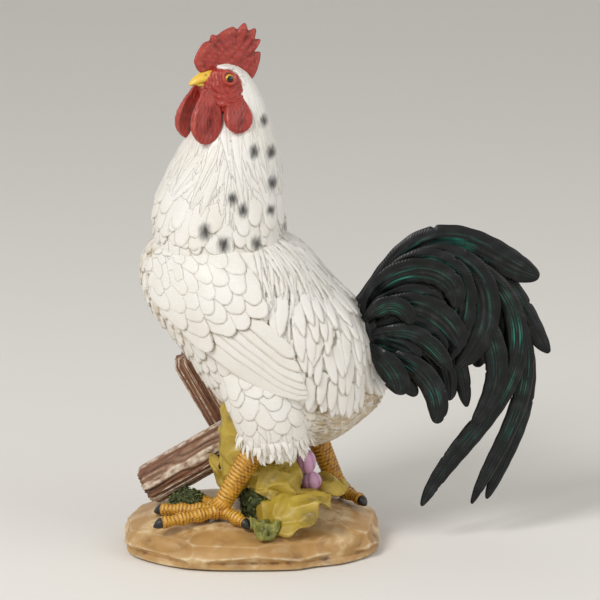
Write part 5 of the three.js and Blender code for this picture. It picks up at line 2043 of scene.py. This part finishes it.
@dataclass(frozen=True)
class Finish:
    """Hand paint on cold-cast polyresin: body colour, thin dark wash left in the carving, dry-brushed ridges.

    Args:
        title: Name of the material.
        body: Body colour.
        shade: Second body colour, which drifts through the first in patches.
        wash: Thin dark paint in the creases.
        accent: Colour of the parts marked as tone.
        light: Dry-brushed colour on the ridges; on the tail it is also a painted highlight.
        mark: Colour of painted marks.
        drift: How far the second body colour shows.
        stain: How strongly the wash covers.
        brush: How strongly the ridges are brushed; on the tail it also sets the strength of the painted
            highlight.
        patch: Size of the patches in mm.
        grain: Size of the grain in mm.
        depth: Depth of the grain in mm.
        roughness: Roughness of the dried paint.
        specular: How strongly its surface mirrors.
        gloss: Weight of the clear varnish.
        barbs: Depth of the fine slanting lines on each feather, as a share of the grain.
        barb: Distance between those lines in mm, drawn as coarse as they need to be to show.
        metal: Whether it is bare metal.
    """

    title: str
    body: str
    shade: str
    wash: str
    accent: str
    light: str
    mark: str = "#3A3A3C"
    drift: float = 0.5
    stain: float = 0.75
    brush: float = 0.4
    patch: float = 18.0
    grain: float = 1.4
    depth: float = 0.12
    roughness: float = 0.5
    specular: float = 0.5
    gloss: float = 0.1
    barbs: float = 0.0
    barb: float = 1.5
    metal: float = 0.0

    def build(self) -> bpy.types.Material:
        """Makes the material.

        Returns:
            The material.
        """
        material = bpy.data.materials.new(self.title)
        material.use_nodes = True
        tree = material.node_tree
        tree.nodes.clear()
        value: dict[str, bpy.types.NodeSocket] = {}
        for name in ("crease", "ridge", "tone", "spot", "feather", "along", "across"):
            value[name] = add_node(tree, "ShaderNodeAttribute", {}, attribute_name=name).outputs["Fac"]
        place = add_node(tree, "ShaderNodeTexCoord", {}).outputs["Object"]
        noises = []
        for size in (self.patch, self.grain, self.grain * 4):
            inputs = {"Vector": place, "Scale": 1 / (size * MM), "Detail": 5.0, "Roughness": 0.6}
            noises.append(add_node(tree, "ShaderNodeTexNoise", inputs))
        cloud, grit, speck = noises

        patches = add_node(tree, RANGE, {0: cloud, 1: 0.38, 2: 0.66, 3: 0.0, 4: self.drift}, clamp=True)
        worn = add_node(tree, RANGE, {0: speck, 1: 0.34, 2: 0.62, 3: 0.1, 4: 1.3})
        varied = {0: value["feather"], 1: 0.45 * self.drift, 2: patches}
        colour = linear(self.body)
        for factor, strength, paint in (
            (add_node(tree, MATH, varied, operation="MULTIPLY_ADD"), None, self.shade),
            (value["tone"], 1.0, self.accent),
            (value["crease"], self.stain, self.wash),
            (value["ridge"], self.brush, self.light),
            (value["spot"], None, self.mark),
        ):
            if strength is not None:
                factor = add_node(tree, MATH, {0: factor, 1: worn}, operation="MULTIPLY")
                factor = add_node(tree, MATH, {0: factor, 1: strength}, operation="MULTIPLY", use_clamp=True)
            layers = {0: factor, 6: colour, 7: linear(paint)}
            colour = add_node(tree, "ShaderNodeMix", layers, data_type="RGBA").outputs[2]

        edge = add_node(tree, MATH, {0: value["across"]}, operation="ABSOLUTE")
        slant = add_node(tree, MATH, {0: edge, 1: -0.8, 2: value["along"]}, operation="MULTIPLY_ADD")
        lines = add_node(tree, MATH, {0: slant, 1: 2 * math.pi / self.barb}, operation="MULTIPLY")
        unruly = add_node(tree, MATH, {0: speck, 1: 9.0, 2: lines}, operation="MULTIPLY_ADD")
        strokes = add_node(tree, MATH, {0: unruly}, operation="SINE")
        height = add_node(tree, MATH, {0: strokes, 1: self.barbs, 2: grit}, operation="MULTIPLY_ADD")
        grain = {"Height": height, "Distance": self.depth * MM, "Strength": 1.0}
        low, high = self.roughness - 0.07, self.roughness + 0.09
        surface = {
            "Base Color": colour,
            "Roughness": add_node(tree, RANGE, {0: grit, 1: 0.3, 2: 0.7, 3: low, 4: high}),
            "Metallic": self.metal,
            "Specular IOR Level": self.specular,
            "Coat Weight": self.gloss,
            "Coat Roughness": 0.25,
            "Normal": add_node(tree, "ShaderNodeBump", grain),
        }
        shader = add_node(tree, "ShaderNodeBsdfPrincipled", surface)
        add_node(tree, "ShaderNodeOutputMaterial", {"Surface": shader})
        return material


FINISHES = {
    # Cast resin sprayed white, brown wash wiped back: satin white with warm shadows in the carving, and a beige
    # tone that on the front of the breast is partly painted shade
    Paint.PLUMAGE: Finish(
        "resin_painted_white_antiqued", "#F1EEE8", "#E3DCCE", "#A08A68", "#C9B697", "#FBFAF6",
        mark="#262526", drift=0.45, stain=0.5, patch=26, grain=1.1, depth=0.14, roughness=0.45,
        barbs=0.45, barb=1.6,
    ),
    # Cast resin painted black and brushed with green pearl: dark, with a green sheen along each vane, grey dry
    # brush on the quills and a painted highlight on the upper half of each vane
    Paint.TAIL: Finish(
        "resin_painted_black_green_pearl", "#08090A", "#121416", "#020303", "#2C8570", "#4A504F",
        drift=0.7, stain=0.9, brush=0.5, patch=30, grain=3.0, depth=0.08, roughness=0.32, specular=0.22,
        barbs=0.65, barb=1.9,
    ),
    # Cast resin painted red over a dark wash: deep folds and paler, rubbed edges
    Paint.COMB: Finish(
        "resin_painted_comb_red", "#9A2B21", "#AC3A2D", "#3C0F0D", "#8C221E", "#CC6452",
        drift=0.7, stain=0.65, brush=0.35, patch=11, grain=1.2, depth=0.2, roughness=0.42,
    ),
    # Smooth cast resin painted yellow and varnished: clean colour with a small highlight
    Paint.BEAK: Finish(
        "resin_painted_beak_yellow", "#E8BE3E", "#EFCB5E", "#8A5A20", "#C9903A", "#F5E19A",
        drift=0.5, stain=0.8, patch=7, grain=1.2, depth=0.05, roughness=0.38, gloss=0.3,
    ),
    # Cast resin painted ochre with a brown wash: every scale has a dark outline, the claws are black
    Paint.SCALES: Finish(
        "resin_painted_leg_ochre", "#D29A26", "#BC7E18", "#55330F", "#D29A26", "#EBC466",
        mark="#121111", drift=0.8, stain=0.9, brush=0.5, patch=9, grain=1.0, depth=0.12, roughness=0.42,
    ),
    # Cast resin painted mustard yellow: dull veins, brown hollows and pale brushed folds
    Paint.LEAF: Finish(
        "resin_painted_leaf_mustard", "#B89D36", "#A2892C", "#5C4C18", "#9C7C34", "#CDB65A",
        drift=0.9, stain=0.85, brush=0.4, patch=15, grain=1.2, depth=0.15, roughness=0.45,
    ),
    # Cast resin painted olive: dark pits under yellow-green brushed tips
    Paint.SPRIG: Finish(
        "resin_painted_sprig_green", "#6E6E2C", "#565A24", "#26280F", "#7A7832", "#B8B45A",
        drift=0.9, stain=0.9, brush=0.7, patch=5, grain=1.0, depth=0.2, roughness=0.5,
    ),
    # Cast resin painted dark green and dry-brushed: matt, with light tips on the strands
    Paint.MOSS: Finish(
        "resin_painted_moss", "#39411F", "#4C562A", "#181C0C", "#59603A", "#98A352",
        drift=0.8, stain=0.7, brush=1.0, patch=6, grain=1.0, depth=0.2, roughness=0.7, gloss=0.0,
    ),
    # Cast resin painted mauve: soft petals with darker seams and a green foot
    Paint.BUD: Finish(
        "resin_painted_bud_mauve", "#D2A2C2", "#BE8CAE", "#8E5A7E", "#8A9A4C", "#F0D6E4",
        drift=0.6, stain=0.6, brush=0.6, patch=6, grain=1.0, depth=0.05, roughness=0.4, gloss=0.2,
    ),
    # Cast resin painted as old wood: matt brown grooves between bleached, rubbed ridges
    Paint.RAIL: Finish(
        "resin_painted_weathered_wood", "#84583C", "#6E472F", "#33211A", "#98765C", "#DCCCB8",
        drift=0.8, stain=0.9, brush=0.8, patch=14, grain=1.1, depth=0.25, roughness=0.65, gloss=0.0,
    ),
    # Cast resin painted as sandstone: warm ochre sides with stains, and a top painted paler than the sides
    Paint.STONE: Finish(
        "resin_painted_sandstone", "#B98F54", "#A47A42", "#6C461E", "#E6CA9A", "#EEDCB6",
        drift=0.8, stain=0.85, brush=0.6, patch=34, grain=1.5, depth=0.15, roughness=0.48,
    ),
    # Glossy varnish over paint: black pupil, amber ring and dark red rim, with a sharp highlight
    Paint.EYE: Finish(
        "resin_painted_eye_varnished", "#0A0808", "#0A0808", "#0A0808", "#C9972A", "#0A0808",
        mark="#3A1512", drift=0.0, patch=5, grain=1.0, depth=0.0, roughness=0.2, gloss=0.2,
    ),
    # Pressed wool felt: dark brown, matt and finely uneven
    Paint.FELT: Finish(
        "felt_pressed_brown", "#4A443B", "#3F3A33", "#3F3A33", "#3F3A33", "#565047",
        drift=0.7, patch=8, grain=0.5, depth=0.2, roughness=0.9, gloss=0.0,
    ),
    # Drawn steel wire: plain grey metal, slightly uneven
    Paint.STEEL: Finish(
        "steel_drawn_wire", "#8D9094", "#7E8185", "#6A6D70", "#8D9094", "#A4A7AA",
        drift=0.4, patch=10, grain=0.4, depth=0.02, roughness=0.35, gloss=0.0, metal=1.0,
    ),
}


@cache
def painted(paint: Paint) -> bpy.types.Material:
    """Material of a finish, made once."""
    return FINISHES[paint].build()


def dress(piece: Piece, paint: Paint, *nodes: str) -> Piece:
    """Paints a piece and lets it ride with the figurine.

    Args:
        piece: Piece to dress.
        paint: Its finish.
        nodes: CAD nodes that it stands for.

    Returns:
        The same piece.
    """
    piece.data.materials.append(painted(paint))
    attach(piece, "root")
    if nodes:
        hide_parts(*nodes)
    return piece


def cast(node: str, points: Array, fields: Fields, paint: Paint, ending: str = "cast") -> Piece:
    """Makes and dresses a closed body through rings that stands for one CAD node.

    Args:
        node: Name of the node, which the piece's name starts with.
        points: Rings of points.
        fields: Values that the paint reads.
        paint: Its finish.
        ending: End of the piece's name.

    Returns:
        The piece.
    """
    return dress(loft_piece(f"{node}_{ending}", points, fields), paint, node)


def dress_node(name: str, paint: Paint) -> None:
    """Gives a CAD node that stays in view its finish."""
    for slot in frame["nodes"][name].material_slots:
        slot.material = painted(paint)


# Studio


@dataclass
class Studio:
    """Pale floor, soft light from the upper left and the camera of the photograph."""

    floor_colour: str = "#EFEBE4"
    light_colour: str = "#FFFFFF"
    target: Place = (37.0, 0.0, 191.4)
    distance: float = 2400.0
    elevation: float = 14.0
    lens: float = 191.6
    ambient: float = 0.45
    # place in mm, width in mm, watts
    lamps: tuple = (((-1300, -1500, 1900), 900, 37.0), ((1700, -900, 1100), 1600, 10.0))

    def build(self) -> None:
        """Sets up the whole studio."""
        bpy.context.scene.view_settings.view_transform = "Standard"
        self.floor()
        self.world()
        for number, (place, size, power) in enumerate(self.lamps):
            self.lamp(number, place, size, power)
        self.camera()

    def floor(self) -> None:
        """Plain floor that reaches past the picture."""
        edge = 10000.0
        corners = np.array([(-edge, -edge, 0), (edge, -edge, 0), (edge, edge, 0), (-edge, edge, 0)], float)
        floor = mesh_piece("studio_floor", corners, [np.array([[0, 1, 2, 3]])])
        material = bpy.data.materials.new("studio_paper_matt")
        material.use_nodes = True
        shader = material.node_tree.nodes["Principled BSDF"]
        shader.inputs["Base Color"].default_value = linear(self.floor_colour)
        shader.inputs["Roughness"].default_value = 0.9
        floor.data.materials.append(material)

    def world(self) -> None:
        """Even ambient light, and the floor's colour behind everything."""
        world = bpy.data.worlds.new("studio_air")
        world.use_nodes = True
        tree = world.node_tree
        tree.nodes.clear()
        path = add_node(tree, "ShaderNodeLightPath", {})
        light = add_node(tree, "ShaderNodeBackground", {0: linear(self.light_colour), 1: self.ambient})
        paper = add_node(tree, "ShaderNodeBackground", {0: linear(self.floor_colour), 1: 1.0})
        seen = path.outputs["Is Camera Ray"]
        for ray in ("Is Glossy Ray", "Is Transmission Ray"):
            seen = add_node(tree, MATH, {0: seen, 1: path.outputs[ray]}, operation="MAXIMUM")
        mixed = add_node(tree, "ShaderNodeMixShader", {0: seen, 1: light, 2: paper})
        add_node(tree, "ShaderNodeOutputWorld", {0: mixed})
        bpy.context.scene.world = world

    def lamp(self, number: int, place: Place, size: float, power: float) -> None:
        """Large soft lamp aimed at the figurine.

        Args:
            number: Number for its name.
            place: Its place, mm.
            size: Its width, mm.
            power: Watts.
        """
        data = bpy.data.lights.new(f"studio_lamp_{number}", "AREA")
        data.shape, data.size, data.energy = "DISK", size * MM, power
        lamp = bpy.data.objects.new(data.name, data)
        bpy.context.scene.collection.objects.link(lamp)
        self.aim(lamp, np.array(place, float))

    def camera(self) -> None:
        """Camera at the photograph's angle."""
        data = bpy.data.cameras.new("studio_camera")
        data.lens, data.sensor_width = self.lens, 36.0
        data.clip_end = 100.0
        camera = bpy.data.objects.new(data.name, data)
        bpy.context.scene.collection.objects.link(camera)
        self.aim(camera, np.array(self.target) - self.distance * heading(90, -self.elevation))
        bpy.context.scene.camera = camera

    def aim(self, item: Piece, place: Array) -> None:
        """Puts a lamp or camera in its place, pointed at the figurine."""
        look = Vector(self.target) - Vector(place)
        item.location = Vector(place) * MM
        item.rotation_euler = look.to_track_quat("-Z", "Y").to_euler()


def main() -> None:
    """Builds the figurine's looks piece by piece, then the studio."""
    logging.basicConfig(level=logging.INFO, format="%(message)s")
    trunk = Trunk()
    assemblies = {
        "trunk": trunk,
        "cape": Cape(),
        "wing_left": Wing(trunk, Side.LEFT),
        "wing_right": Wing(trunk, Side.RIGHT),
        "saddle": Saddle(trunk),
        "thigh_left": Thigh(Side.LEFT),
        "thigh_right": Thigh(Side.RIGHT),
        "tail": Tail(),
        "head": Head(),
        "leg_left": Leg(Side.LEFT, (8, -35), (-21.5, -35, 13), ((-43, 14), (-42, -17), (-19, 42), (15, -16))),
        "leg_right": Leg(Side.RIGHT, (42, 30), (65, 30, 10), ((-43, 12), (-41, -14), (-29, 28), (17, -24))),
        "base": Base(),
    }
    for name, assembly in assemblies.items():
        for piece in assembly.build():
            log.info("%s: %s, %d faces", name, piece.name, len(piece.data.polygons))
    dress_node("base_felt", Paint.FELT)
    for name in ("leg_rod_left", "leg_rod_right", "tail_pin"):
        dress_node(name, Paint.STEEL)
    Studio().build()


if __name__ == "__main__":
    main()
